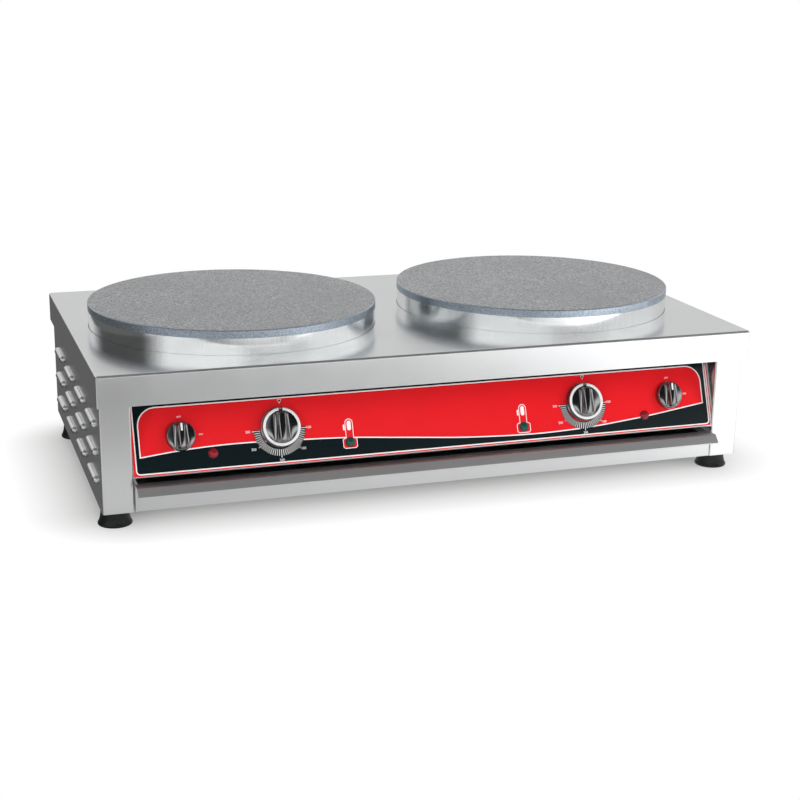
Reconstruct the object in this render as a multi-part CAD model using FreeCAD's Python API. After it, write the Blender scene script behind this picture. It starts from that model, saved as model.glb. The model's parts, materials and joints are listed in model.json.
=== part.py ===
import FreeCAD, Part
import math
import os

# Electric crepe maker: two round cast plates on a folded stainless body with a tilted control panel
# and a crumb drawer. Units are millimetres. +X runs to the right along the front, +Y to the back,
# +Z up. The origin lies on the table under the middle of the outer box.

V = FreeCAD.Vector

# Edges nearer than this count as one place, and cutting shapes run past the faces they cut by this
tolerance = 1e-6
overshoot = 1.0

# Cover sheet with its apron
cover_top = 206.8
apron_drop = 41.0
cover_wall = 1.5
cover_bend = 3.2
cover_opening_gap = 0.5

# Body under the cover
side_inset = 4.0
leg_setback = 12.0
back_inset = 7.0
leg_width = 40.0
leg_return = 46.0
leg_bottom = 23.4
side_wall = 1.5
side_bend = 3.0
back_wall = 1.2
back_flange = 22.0

# Pressed louvres of the side panels
louvre_rows = 3
louvre_columns = 4
louvre_first_y = 53.0
louvre_pitch_y = 110.0
louvre_first_z = 55.2
louvre_pitch_z = 37.3
louvre_radius = 5.8
louvre_length = 60.0
louvre_wall = 1.0

# Cooking plates, and the cover's margins round them
plate_radius = 200.0
plate_gap = 53.0
plate_side_margin = 27.0
plate_front_margin = 50.8
plate_back_margin = 51.2
plate_rise = 33.0
plate_rim = 10.6
plate_edge = 1.2
plate_rib_drop = 6.0
plate_rib_width = 7.0
plate_rib_gap = 0.4
boss_radius = 15.0

# Heater bowls, whose walls are the bright collars
bowl_step = 0.5
bowl_wall = 1.0
bowl_drop = 40.0

# Heating loops, clamp discs and insulation
loop_width = 8.0
loop_height = 7.0
loop_gap = 0.2
outer_loop_inset = 45.0
loop_spacing = 80.0
loop_opening = 24.0
terminal_radius = 2.5
terminal_reach = 20.0
terminal_clearance = 2.5
clamp_inset = 28.0
clamp_wall = 2.0
insulation_gap = 1.0
insulation_height = 34.0

# Tie bolts and clamp nuts
tie_radius = 4.0
tie_clearance = 0.3
tie_bite = 6.0
hex_head_radius = 8.0
hex_head_height = 5.5
clamp_nut_height = 6.5

# Cross rails and their screws
rail_spacing = 120.0
rail_width = 40.0
rail_height = 25.0
rail_wall = 1.5
rail_bend = 2.5
rail_screw_spread = 180.0
rail_screw_radius = 2.5
rail_screw_head = 4.6
rail_screw_head_height = 3.5
screw_clearance = 0.15

# Control panel
panel_tilt = 20.5
panel_bottom = 66.7
panel_slope = 97.5
panel_wall = 1.5
panel_bend = 1.8
panel_flange = 40.0
film_wall = 0.3
film_start = 3.0
film_end = 95.5
film_margin = 1.2

# Controls on the panel: distance outwards from the middle of their plate, and height up the slope
switch_offset = 119.5
switch_v = 50.0
thermostat_offset = -11.0
thermostat_v = 50.5
green_lamp_offset = -103.1
green_lamp_v = 23.4
red_lamp_offset = 79.5
red_lamp_v = 24.6

# Spindles
spindle_radius = 3.0
spindle_running_gap = 0.05
spindle_panel_gap = 1.2
spindle_depth = 16.0
spindle_end_gap = 1.0
spindle_top_gap = 0.5
knob_bore_gap = 0.03
knob_bore_end = 8.0
knob_standoff = 0.9

# Thermostat knobs
thermostat_skirt_radius = 26.5
thermostat_skirt_height = 3.0
thermostat_body_radius = 25.2
thermostat_top_radius = 24.6
thermostat_knob_height = 9.0
ring_outer = 24.3
ring_inner = 21.2
ring_depth = 0.8
ring_proud = 0.25
ring_notch = 14.0
thermostat_grip_length = 40.0
thermostat_grip_width = 10.5

# Switch knobs
switch_skirt_radius = 19.5
switch_top_radius = 18.4
switch_knob_height = 8.0
switch_grip_length = 34.0
switch_grip_width = 9.5
pointer_width = 1.8
pointer_length = 9.0
pointer_start = 6.5
pointer_depth = 0.6
switch_bevel = 1.0
switch_bevel_lean = 0.2

# Bars of both knobs, sunk a little into their faces
grip_height = 8.5
grip_lap = 1.0
grip_taper = 1.2
grip_round = 1.2

# Bodies of the thermostats and switches behind the panel
thermostat_case = 34.0
thermostat_case_depth = 24.0
thermostat_drum_radius = 13.0
thermostat_drum_depth = 6.0
switch_case = 30.0
switch_case_depth = 32.0

# Pilot lamps
lens_flange_radius = 6.6
lens_flange_height = 1.3
lens_dome_radius = 5.6
lens_dome_height = 2.6
lens_shoulder_inset = 0.73
lens_crown_drop = 0.34
lamp_barrel_radius = 5.0
lamp_hole_gap = 0.2
lamp_depth = 22.0
lamp_nut_radius = 7.5
lamp_nut_height = 3.0

# Capillary probes
bulb_radius = 3.0
bulb_length = 48.0
bulb_ring_gap = 5.0
capillary_radius = 0.9
capillary_bend = 5.0
capillary_clearance = 1.6
capillary_drop = 9.0

# Inner floor over the drawer
floor_wall = 1.2
floor_lap = 20.0
floor_leg_gap = 1.0

# Drawer and its runners
drawer_lift = 0.6
drawer_top = 60.0
drawer_wall = 1.2
drawer_bend = 2.0
drawer_side_gap = 1.7
drawer_back_gap = 24.6
tray_side_gap = 17.5
tray_flange = 12.0
lip_reach = 25.0
lip_ledge = 16.0
lip_return = 6.0
lip_bend = 1.6
runner_web_gap = 3.3
runner_base = 9.0
runner_flange = 16.0
runner_wall = 1.5
runner_bend = 2.5
runner_start_gap = 2.0
runner_end_gap = 16.0

# Feet
foot_inset_x = 19.5
foot_front = 43.7
foot_back = 71.9
foot_radius = 22.2
foot_top_radius = 17.2
foot_toe = 1.2
foot_rim = 3.2
foot_waist = 0.35
foot_recess_radius = 6.0
foot_recess_depth = 12.0
foot_screw_radius = 2.5
foot_screw_head = 4.8
foot_screw_head_height = 3.0
foot_screw_end = 1.0
foot_nut_radius = 4.6
foot_nut_height = 4.0

# Cable gland in the back panel
gland_inset = 149.5
gland_z = 112.0
gland_reach = 18.0
gland_bore = 4.5
gland_thread_radius = 8.0
gland_flange_radius = 13.0
gland_flange_height = 3.0
gland_hex_radius = 12.0
gland_hex_height = 6.0
gland_cap_radius = 9.5
gland_cap_end_radius = 7.0
gland_inner_reach = 12.0
gland_hole_gap = 0.2

# Terminal block on the inner floor
block_length = 48.0
block_width = 20.0
block_height = 16.0
block_from_back = 60.0
block_ways = 3
block_screw_radius = 2.6
block_screw_depth = 6.0

# Vent slots and screws of the back panel
slot_length = 70.0
slot_height = 6.0
slot_pitch = 13.0
slot_rows = 5
slot_first_z = 118.0
slot_inset = 76.5
back_screw_radius = 2.0
back_screw_head = 4.0
back_screw_head_height = 2.0
back_screw_length = 6.0
back_screw_inset = 12.0
back_screw_heights = (52.0, 112.0, 178.0)

# Planes and places worked out from the sizes above
plate_spacing = 2 * plate_radius + plate_gap
plate_setback = plate_front_margin + plate_radius
cover_width = plate_spacing + 2 * plate_radius + 2 * plate_side_margin
cover_depth = plate_setback + plate_radius + plate_back_margin
lip_front = leg_setback - lip_reach
gland_back = cover_depth - back_inset + gland_reach
front_y = -(lip_front + gland_back) / 2
leg_y = front_y + leg_setback
back_y = front_y + cover_depth - back_inset
flange_y = back_y - back_wall
side_x = cover_width / 2 - side_inset
inner_x = side_x - leg_width
under_z = cover_top - cover_wall
apron_z = cover_top - apron_drop
plate_x = plate_spacing / 2
plate_y = front_y + plate_setback
plate_top_z = cover_top + plate_rise
plate_under_z = plate_top_z - plate_rim
bowl_radius = plate_radius - bowl_step
bowl_z = cover_top - bowl_drop
bowl_floor_z = bowl_z + bowl_wall
outer_loop_radius = plate_radius - outer_loop_inset
inner_loop_radius = outer_loop_radius - loop_spacing
clamp_radius = plate_radius - clamp_inset
clamp_z =plate_under_z - 2 * loop_gap - loop_height
loop_z = plate_under_z - loop_gap - loop_height
boss_drop = plate_under_z - clamp_z
rail_y = (plate_y - rail_spacing / 2, plate_y + rail_spacing / 2)
tilt = math.radians(panel_tilt)
switch_x = plate_x + switch_offset
thermostat_x = plate_x + thermostat_offset
green_lamp_x = plate_x + green_lamp_offset
red_lamp_x = plate_x + red_lamp_offset
capillary_height = panel_bottom + thermostat_v * math.cos(tilt) - capillary_drop
gland_x = gland_inset - side_x
slot_x = plate_x - slot_inset
foot_x = side_x - foot_inset_x
foot_y = (front_y + foot_front, front_y + cover_depth - foot_back)
floor_z = panel_bottom + panel_wall
floor_top_z = floor_z + floor_wall
flange_top_z = leg_bottom + side_wall
drawer_bottom = leg_bottom + drawer_lift
drawer_face_x = inner_x - drawer_side_gap
drawer_length = flange_y - drawer_back_gap - leg_y - drawer_wall
tray_half_width = inner_x - tray_side_gap
runner_z = drawer_top - drawer_wall
loops = (outer_loop_radius, inner_loop_radius)
lamps = (("green", green_lamp_x, green_lamp_v), ("red", red_lamp_x, red_lamp_v))
sides = (("left", -1), ("right", 1))


def left_of(direction):
    """The unit vector a quarter turn to the left in a flat drawing."""
    return V(-direction.y, direction.x, 0)


def outline_face(corners, place):
    """A face inside a closed outline of corners (a, b, radius), put in space by place."""
    count = len(corners)
    starts, mids, ends = [], [], []
    for i, (a, b, radius) in enumerate(corners):
        point = V(a, b, 0)
        if radius <= 0:
            starts.append(point)
            mids.append(None)
            ends.append(point)
            continue
        before = (V(corners[i - 1][0], corners[i - 1][1], 0) - point).normalize()
        after = (V(corners[(i + 1) % count][0], corners[(i + 1) % count][1], 0) - point).normalize()
        half = before.getAngle(after) / 2
        cut = radius / math.tan(half)
        starts.append(point + before * cut)
        ends.append(point + after * cut)
        mids.append(point + (before + after).normalize() * (radius / math.sin(half) - radius))
    edges = []
    for i in range(count):
        if mids[i] is not None:
            arc = Part.Arc(place(starts[i]), place(mids[i]), place(ends[i]))
            edges.append(arc.toShape())
        following = starts[(i + 1) % count]
        if (following - ends[i]).Length > tolerance:
            edges.append(Part.makeLine(place(ends[i]), place(following)))
    return Part.Face(Part.Wire(edges))


def sheet_corners(path, wall, bend):
    """The outline of a folded sheet: path is one face, the wall lies to its left."""
    near, far = [], []
    points = [V(a, b, 0) for a, b in path]
    last = len(points) - 1
    for i, point in enumerate(points):
        arriving = (point - points[i - 1]).normalize() if i > 0 else None
        leaving = (points[i + 1] - point).normalize() if i < last else None
        if arriving is None or leaving is None:
            offset = point + left_of(leaving or arriving) * wall
            near.append((point.x, point.y, 0))
            far.append((offset.x, offset.y, 0))
            continue
        first, second = left_of(arriving), left_of(leaving)
        offset = point + (first + second) * (wall / (1 + first.dot(second)))
        turns_left = arriving.x * leaving.y - arriving.y * leaving.x > 0
        near.append((point.x, point.y, bend if turns_left else bend - wall))
        far.append((offset.x, offset.y, bend - wall if turns_left else bend))
    return near + far[::-1]


def along_x(corners, x_start, x_end):
    face = outline_face(corners, lambda p: V(x_start, p.x, p.y))
    return face.extrude(V(x_end - x_start, 0, 0))


def along_y(corners, y_start, y_end):
    face = outline_face(corners, lambda p: V(p.x, y_start, p.y))
    return face.extrude(V(0, y_end - y_start, 0))


def along_z(corners, z_start, z_end):
    face = outline_face(corners, lambda p: V(p.x, p.y, z_start))
    return face.extrude(V(0, 0, z_end - z_start))


def turned(corners, x=0.0, y=0.0, angle=360.0):
    """A solid turned round the vertical line through x, y from an outline of (radius, z, round)."""
    face = outline_face(corners, lambda p: V(p.x, 0, p.y))
    solid = face.revolve(V(0, 0, 0), V(0, 0, 1), angle)
    solid.translate(V(x, y, 0))
    return solid


def block(x_low, x_high, y_low, y_high, z_low, z_high):
    return Part.makeBox(x_high - x_low, y_high - y_low, z_high - z_low, V(x_low, y_low, z_low))


def rod(radius, x, y, z_low, z_high):
    return Part.makeCylinder(radius, z_high - z_low, V(x, y, z_low))


def hexagon(radius, x, y, z_low, z_high):
    points = [V(x + radius * math.cos(math.radians(60 * i)),
                y + radius * math.sin(math.radians(60 * i)), z_low) for i in range(7)]
    return Part.Face(Part.makePolygon(points)).extrude(V(0, 0, z_high - z_low))


def on_panel(shape, x=0.0, v=0.0):
    """Puts a shape from panel coordinates (across, up the slope, outwards) on the tilted panel."""
    moved = shape.copy()
    moved.translate(V(x, v, 0))
    frame = FreeCAD.Placement(V(0, leg_y, panel_bottom), FreeCAD.Rotation(V(1, 0, 0), 90 - panel_tilt))
    moved.Placement = frame.multiply(moved.Placement)
    return moved


def mirrored(shape, sign):
    return shape if sign > 0 else shape.mirror(V(0, 0, 0), V(1, 0, 0))


def terminal_places(sign, radius):
    """Where the two upright ends of a heating loop stand: its opening faces the middle."""
    towards = 180 if sign > 0 else 0
    places = []
    for turn in (-loop_opening / 2, loop_opening / 2):
        angle = math.radians(towards + turn * outer_loop_radius / radius)
        places.append((sign * plate_x + radius * math.cos(angle), plate_y + radius * math.sin(angle)))
    return places


def rail_screw_places():
    return [(sign * plate_x + side * rail_screw_spread / 2, y)
            for _, sign in sides for side in (-1, 1) for y in rail_y]


def back_screw_places():
    return [(sign * (side_x - back_screw_inset), z) for _, sign in sides for z in back_screw_heights]


def capillary_place(sign):
    """The upright run of the capillary tube, in front of the bulb."""
    return sign * thermostat_x, plate_y - outer_loop_radius + loop_width / 2 + bulb_ring_gap


def make_top_cover():
    outer = block(-cover_width / 2, cover_width / 2, front_y, front_y + cover_depth, apron_z, cover_top)
    inner = block(-cover_width / 2 + cover_wall, cover_width / 2 - cover_wall,
                  front_y + cover_wall, front_y + cover_depth - cover_wall, apron_z, under_z)

    def rounded(shape, radius, bottom):
        edges = [e for e in shape.Edges if e.BoundBox.ZMax > bottom + tolerance]
        return shape.makeFillet(radius, edges)

    cover = rounded(outer, cover_bend, apron_z).cut(rounded(inner, cover_bend - cover_wall, apron_z))
    for _, sign in sides:
        cover = cover.cut(rod(bowl_radius + cover_opening_gap, sign * plate_x, plate_y, apron_z, cover_top))
    return cover


def make_louvre(y_nose, z, radius, grow):
    """A half-round scoop along Y on the right side face, its closed nose to the front."""
    centre = V(side_x, y_nose + louvre_radius, z)
    tube = Part.makeCylinder(radius, louvre_length - louvre_radius + grow, centre, V(0, 1, 0))
    nose = Part.makeSphere(radius, centre, V(0, 1, 0), -90, 0, 360)
    scoop = tube.fuse(nose)
    half = block(side_x - side_wall - grow, side_x + 2 * radius,
                 centre.y - 2 * radius, centre.y + louvre_length + 2 * grow, z - 2 * radius, z + 2 * radius)
    return scoop.common(half)


def make_side_panel(sign):
    path = [(inner_x, leg_y + leg_return), (inner_x, leg_y), (side_x, leg_y),
            (side_x, flange_y), (side_x - back_flange, flange_y)]
    panel = along_z(sheet_corners(path, side_wall, side_bend), leg_bottom, under_z)
    foot_flange = block(inner_x, side_x - side_wall, leg_y + side_wall, flange_y - side_wall,
                        leg_bottom, flange_top_z)
    panel = panel.fuse(foot_flange)
    outers, inners = [], []
    for column in range(louvre_columns):
        for row in range(louvre_rows):
            y_nose = front_y + louvre_first_y + column * louvre_pitch_y
            z = louvre_first_z + row * louvre_pitch_z
            outers.append(make_louvre(y_nose, z, louvre_radius, 0.0))
            inners.append(make_louvre(y_nose, z, louvre_radius - louvre_wall, overshoot))
    panel = panel.multiFuse(outers).cut(Part.makeCompound(inners))
    for y in foot_y:
        panel = panel.cut(rod(foot_screw_radius + screw_clearance, foot_x, y,
                              leg_bottom - overshoot, flange_top_z + overshoot))
    for z in back_screw_heights:
        hole = Part.makeCylinder(back_screw_radius + screw_clearance, 4 * side_wall,
                                 V(side_x - back_screw_inset, flange_y - 2 * side_wall, z), V(0, 1, 0))
        panel = panel.cut(hole)
    return mirrored(panel.removeSplitter(), sign)


def make_back_panel():
    x_end = side_x - side_bend
    panel = block(-x_end, x_end, flange_y, back_y, leg_bottom + side_wall, under_z)
    for side in (-1, 1):
        for row in range(slot_rows):
            z = slot_first_z + row * slot_pitch
            reach = (slot_length - slot_height) / 2
            slot = block(side * slot_x - reach, side * slot_x + reach,
                         flange_y - overshoot, back_y + overshoot, z - slot_height / 2, z + slot_height / 2)
            for end in (-1, 1):
                cap = Part.makeCylinder(slot_height / 2, back_wall + 2 * overshoot,
                                        V(side * slot_x + end * reach, flange_y - overshoot, z), V(0, 1, 0))
                slot = slot.fuse(cap)
            panel = panel.cut(slot)
    panel = panel.cut(Part.makeCylinder(gland_thread_radius + gland_hole_gap, back_wall + 2 * overshoot,
                                        V(gland_x, flange_y - overshoot, gland_z), V(0, 1, 0)))
    for x, z in back_screw_places():
        panel = panel.cut(Part.makeCylinder(back_screw_radius + screw_clearance, back_wall + 2 * overshoot,
                                            V(x, flange_y - overshoot, z), V(0, 1, 0)))
    return panel


def make_back_screws():
    screws = []
    for x, z in back_screw_places():
        shank = Part.makeCylinder(back_screw_radius, back_screw_length, V(x, back_y - back_screw_length, z),
                                  V(0, 1, 0))
        head = Part.makeCylinder(back_screw_head, back_screw_head_height, V(x, back_y, z), V(0, 1, 0))
        screws.append(shank.fuse(head))
    return Part.makeCompound(screws)


def make_inner_floor():
    step_y = leg_y + leg_return + floor_leg_gap
    narrow = block(-inner_x, inner_x, leg_y + floor_lap, step_y, floor_z, floor_top_z)
    wide = block(-side_x + side_wall, side_x - side_wall, step_y, flange_y - side_bend, floor_z, floor_top_z)
    return narrow.fuse(wide).removeSplitter()


def make_control_panel():
    slope_y = leg_y + panel_slope * math.sin(tilt)
    slope_z = panel_bottom + panel_slope * math.cos(tilt)
    path = [(slope_y, under_z), (slope_y, slope_z),
            (leg_y, panel_bottom), (leg_y + panel_flange, panel_bottom)]
    panel = along_x(sheet_corners(path, panel_wall, panel_bend), -inner_x, inner_x)
    return panel.cut(Part.makeCompound(panel_holes()))


def panel_holes():
    """Round holes for spindles and lamps, cut square to the tilted face."""
    holes = []
    spindle_hole = spindle_radius + spindle_panel_gap
    lamp_hole = lamp_barrel_radius + lamp_hole_gap
    places = ((switch_x, switch_v, spindle_hole), (thermostat_x, thermostat_v, spindle_hole),
              (green_lamp_x, green_lamp_v, lamp_hole), (red_lamp_x, red_lamp_v, lamp_hole))
    for _, sign in sides:
        for x, v, radius in places:
            holes.append(on_panel(rod(radius, 0, 0, -2 * panel_wall, 2 * panel_wall), sign * x, v))
    return holes


def make_panel_film():
    width = inner_x - film_margin
    film = on_panel(block(-width, width, film_start, film_end, 0, film_wall))
    return film.cut(Part.makeCompound(panel_holes()))


def make_bowl(sign):
    path = [(0, bowl_z), (bowl_radius, bowl_z), (bowl_radius, plate_under_z)]
    bowl = turned(sheet_corners(path, bowl_wall, 0), sign * plate_x, plate_y)
    bowl = bowl.cut(disc_holes(sign, tie_radius + tie_clearance, bowl_z, bowl_floor_z))
    for x, y in rail_screw_places():
        if x * sign > 0:
            bowl = bowl.cut(rod(rail_screw_radius + screw_clearance, x, y,
                                bowl_z - overshoot, bowl_floor_z + overshoot))
    return bowl


def make_plate(sign):
    rib_out = bowl_radius - bowl_wall - plate_rib_gap
    rib_in = rib_out - plate_rib_width
    rib_z = plate_under_z - plate_rib_drop
    boss_z = plate_under_z - boss_drop
    corners = [(0, boss_z, 0), (boss_radius, boss_z, 0), (boss_radius, plate_under_z, 0),
               (rib_in, plate_under_z, 0), (rib_in, rib_z, 0), (rib_out, rib_z, 0),
               (rib_out, plate_under_z, 0), (plate_radius, plate_under_z, 0),
               (plate_radius, plate_top_z - plate_edge, 0), (plate_radius - plate_edge, plate_top_z, 0),
               (0, plate_top_z, 0)]
    plate = turned(corners, sign * plate_x, plate_y)
    return plate.cut(rod(tie_radius, sign * plate_x, plate_y, boss_z - overshoot, boss_z + tie_bite))


def make_loop(sign, radius):
    """A heating loop of flattened tube with two upright terminals in its opening."""
    half = loop_width / 2
    corners = [(radius - half, loop_z, 0), (radius + half, loop_z, 0),
               (radius + half, loop_z + loop_height, 0), (radius - half, loop_z + loop_height, 0)]
    opening = loop_opening * outer_loop_radius / radius
    loop = turned(corners, angle=360 - opening)
    start = (180 if sign > 0 else 0) + opening / 2
    loop.rotate(V(0, 0, 0), V(0, 0, 1), start)
    loop.translate(V(sign * plate_x, plate_y, 0))
    for x, y in terminal_places(sign, radius):
        head = rod(half, x, y, loop_z, loop_z + loop_height)
        pin = rod(terminal_radius, x, y, bowl_z - terminal_reach, loop_z)
        loop = loop.fuse(head).fuse(pin)
    return loop


def make_clamp(sign):
    x, y = sign * plate_x, plate_y
    low, high = clamp_z - clamp_wall, clamp_z
    disc = rod(clamp_radius, x, y, low, high)
    return disc.cut(disc_holes(sign, tie_radius + tie_clearance, low, high))


def disc_holes(sign, tie_hole, low, high):
    """Holes for the tie bolt, the loops' terminals and the capillary in a disc under the plate."""
    start, end = low - overshoot, high + overshoot
    holes = [rod(tie_hole, sign * plate_x, plate_y, start, end)]
    for radius in loops:
        for x, y in terminal_places(sign, radius):
            holes.append(rod(terminal_radius + terminal_clearance, x, y, start, end))
    x, y = capillary_place(sign)
    holes.append(rod(capillary_radius + capillary_clearance, x, y, start, end))
    return Part.makeCompound(holes)


def make_insulation(sign):
    x, y = sign * plate_x, plate_y
    low, high = bowl_floor_z, bowl_floor_z + insulation_height
    disc = rod(bowl_radius - bowl_wall - insulation_gap, x, y, low, high)
    return disc.cut(disc_holes(sign, tie_radius + terminal_clearance, low, high))


def make_tie_bolts():
    bolts = []
    for _, sign in sides:
        x, y = sign * plate_x, plate_y
        shank = rod(tie_radius, x, y, bowl_z, clamp_z + tie_bite)
        bolts.append(shank.fuse(hexagon(hex_head_radius, x, y, bowl_z - hex_head_height, bowl_z)))
    return Part.makeCompound(bolts)


def make_clamp_nuts():
    nuts = []
    for _, sign in sides:
        high = clamp_z - clamp_wall
        nut = hexagon(hex_head_radius, sign * plate_x, plate_y, high - clamp_nut_height, high)
        nuts.append(nut.cut(rod(tie_radius, sign * plate_x, plate_y, high - 2 * clamp_nut_height,
                                high + overshoot)))
    return Part.makeCompound(nuts)


def make_rail(y):
    half = rail_width / 2
    low = bowl_z - rail_height
    path = [(y + half, low), (y + half, bowl_z), (y - half, bowl_z), (y - half, low)]
    end = side_x - side_wall
    rail = along_x(sheet_corners(path, rail_wall, rail_bend), -end, end)
    holes = [rod(rail_screw_radius + screw_clearance, px, py, low, bowl_z + overshoot)
             for px, py in rail_screw_places() if abs(py - y) < half]
    return rail.cut(Part.makeCompound(holes))


def make_rail_screws():
    screws = []
    for x, y in rail_screw_places():
        head_top = bowl_z - rail_wall
        head = hexagon(rail_screw_head, x, y, head_top - rail_screw_head_height, head_top)
        screws.append(head.fuse(rod(rail_screw_radius, x, y, head_top, bowl_floor_z)))
    return Part.makeCompound(screws)


def make_probe(sign, case):
    """Bulb under the plate and its capillary down to the thermostat case."""
    x, run_y = capillary_place(sign)
    bulb_y = run_y + capillary_bend
    bulb_z = plate_under_z - loop_gap - bulb_radius
    bulb = Part.makeCylinder(bulb_radius, bulb_length, V(x, bulb_y, bulb_z), V(0, 1, 0))
    case_y = case.BoundBox.YMax - thermostat_drum_radius
    places = [V(x, bulb_y, bulb_z), V(x, run_y, bulb_z - capillary_bend),
              V(x, run_y, capillary_height + capillary_bend), V(x, run_y - capillary_bend, capillary_height),
              V(x, case_y, capillary_height)]
    circle = Part.Wire(Part.makeCircle(capillary_radius, places[0], places[1] - places[0]))
    tube = Part.makePolygon(places).makePipeShell([circle], True, False, 1)
    return bulb.fuse(tube).cut(case)


def make_thermostat(sign):
    half = thermostat_case / 2
    deep = -panel_wall - thermostat_case_depth
    case = block(-half, half, -half, half, deep, -panel_wall)
    case = case.fuse(rod(thermostat_drum_radius, 0, 0, deep - thermostat_drum_depth, deep))
    case = case.cut(rod(spindle_radius + spindle_running_gap, 0, 0, -panel_wall - spindle_depth, 0))
    return on_panel(case, sign * thermostat_x, thermostat_v)


def make_switch(sign):
    half = switch_case / 2
    case = block(-half, half, -half, half, -panel_wall - switch_case_depth, -panel_wall)
    case = case.cut(rod(spindle_radius + spindle_running_gap, 0, 0, -panel_wall - spindle_depth, 0))
    return on_panel(case, sign * switch_x, switch_v)


def make_spindle(x, v):
    low = -panel_wall - spindle_depth + spindle_end_gap
    high = film_wall + knob_standoff + knob_bore_end - spindle_top_gap
    return on_panel(rod(spindle_radius, 0, 0, low, high), x, v)


def make_grip(length, width, low):
    """A raised bar with round ends, tapered towards its top."""
    def level(shrink, z):
        half_w = width / 2 - shrink
        reach = length / 2 - width / 2
        corners = [V(-half_w, -reach, z), V(-half_w, reach, z), V(half_w, reach, z), V(half_w, -reach, z)]
        top = Part.Arc(corners[1], V(0, reach + half_w, z), corners[2]).toShape()
        bottom = Part.Arc(corners[3], V(0, -reach - half_w, z), corners[0]).toShape()
        return Part.Wire([Part.makeLine(corners[0], corners[1]), top,
                          Part.makeLine(corners[2], corners[3]), bottom])

    grip = Part.makeLoft([level(0, low), level(grip_taper, low + grip_height)], True, True)
    top_edges = [e for e in grip.Edges if e.BoundBox.ZMin > low + grip_height - tolerance]
    return grip.makeChamfer(grip_round, top_edges)


def make_thermostat_knob(sign):
    low = film_wall + knob_standoff
    high = low + thermostat_knob_height
    corners = [(0, low, 0), (thermostat_skirt_radius, low, 0),
               (thermostat_skirt_radius, low + thermostat_skirt_height, 0),
               (thermostat_body_radius, low + thermostat_skirt_height, 0),
               (thermostat_top_radius, high, 0), (0, high, 0)]
    knob = turned(corners)
    groove = rod(ring_outer, 0, 0, high - ring_depth, high + overshoot)
    groove = groove.cut(rod(ring_inner, 0, 0, high - 2 * ring_depth, high + 2 * overshoot))
    knob = knob.cut(groove).fuse(make_grip(thermostat_grip_length, thermostat_grip_width, high - grip_lap))
    knob = knob.cut(rod(spindle_radius + knob_bore_gap, 0, 0, low - overshoot, low + knob_bore_end))
    return on_panel(knob, sign * thermostat_x, thermostat_v)


def make_knob_ring(sign):
    """The bright ring round the knob's top, open at the pointer."""
    high = film_wall + knob_standoff + thermostat_knob_height
    corners = [(ring_inner, high - ring_depth, 0), (ring_outer, high - ring_depth, 0),
               (ring_outer, high + ring_proud, 0), (ring_inner, high + ring_proud, 0)]
    ring = turned(corners, angle=360 - ring_notch)
    ring.rotate(V(0, 0, 0), V(0, 0, 1), 90 + ring_notch / 2)
    return on_panel(ring, sign * thermostat_x, thermostat_v)


def make_pointer_cut(grow):
    high = film_wall + knob_standoff + switch_knob_height - grip_lap + grip_height
    half = pointer_width / 2
    return block(-half, half, pointer_start, pointer_start + pointer_length,
                 high - pointer_depth, high + grow)


def make_switch_knob(sign):
    low = film_wall + knob_standoff
    high = low + switch_knob_height
    corners = [(0, low, 0), (switch_skirt_radius, low, 0),
               (switch_top_radius + switch_bevel_lean, high - switch_bevel, 0),
               (switch_top_radius - switch_bevel, high, 0), (0, high, 0)]
    knob = turned(corners).fuse(make_grip(switch_grip_length, switch_grip_width, high - grip_lap))
    knob = knob.cut(rod(spindle_radius + knob_bore_gap, 0, 0, low - overshoot, low + knob_bore_end))
    knob = knob.cut(make_pointer_cut(overshoot))
    return on_panel(knob, sign * switch_x, switch_v)


def make_lens(x, v):
    low = film_wall
    step = low + lens_flange_height
    top = step + lens_dome_height
    corners = [(0, low, 0), (lens_flange_radius, low, 0), (lens_flange_radius, step, 0),
               (lens_dome_radius, step, 0),
               (lens_dome_radius - lens_shoulder_inset, step + lens_dome_height / 2, 0),
               (lens_dome_radius / 2, top - lens_crown_drop, 0), (0, top, 0)]
    return on_panel(turned(corners), x, v)


def make_lamp_body(x, v):
    barrel = rod(lamp_barrel_radius, 0, 0, -lamp_depth, film_wall)
    nut = rod(lamp_nut_radius, 0, 0, -panel_wall - lamp_nut_height, -panel_wall)
    return on_panel(barrel.fuse(nut), x, v)


def make_drawer_front():
    face_back = leg_y + drawer_wall
    ledge_y = leg_y - lip_ledge
    hem_run = lip_bend * (1 / math.tan(math.pi / 8) - 1)
    tip_y = leg_y - lip_reach - hem_run
    band_z = drawer_top - (ledge_y - tip_y)
    path = [(face_back, drawer_bottom), (face_back, drawer_top), (ledge_y, drawer_top),
            (tip_y, band_z), (tip_y + lip_return, band_z)]
    return along_x(sheet_corners(path, drawer_wall, lip_bend), -drawer_face_x, drawer_face_x)


def make_drawer_tray():
    y_low = leg_y + drawer_wall
    y_high = y_low + drawer_length
    outer = block(-tray_half_width, tray_half_width, y_low, y_high, drawer_bottom, drawer_top)
    inner = block(-tray_half_width + drawer_wall, tray_half_width - drawer_wall, y_low + drawer_wall,
                  y_high - drawer_wall, drawer_bottom + drawer_wall, drawer_top)

    def soft_corners(shape, radius):
        return shape.makeFillet(radius, [e for e in shape.Edges if e.BoundBox.ZMax < drawer_top - tolerance])

    tray = soft_corners(outer, drawer_bend).cut(soft_corners(inner, drawer_bend - drawer_wall))
    for sign in (-1, 1):
        x_pair = sorted((sign * tray_half_width, sign * (tray_half_width + tray_flange)))
        tray = tray.fuse(block(x_pair[0], x_pair[1], y_low, y_high, runner_z, drawer_top))
    return tray.removeSplitter()


def make_runner(sign):
    web_x = inner_x + runner_web_gap
    base_z = flange_top_z + runner_wall
    path = [(web_x + runner_base, base_z), (web_x, base_z),
            (web_x, runner_z), (web_x - runner_flange, runner_z)]
    y_low = leg_y + leg_return + runner_start_gap
    runner = along_y(sheet_corners(path, runner_wall, runner_bend), y_low, flange_y - runner_end_gap)
    return mirrored(runner, sign)


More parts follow.
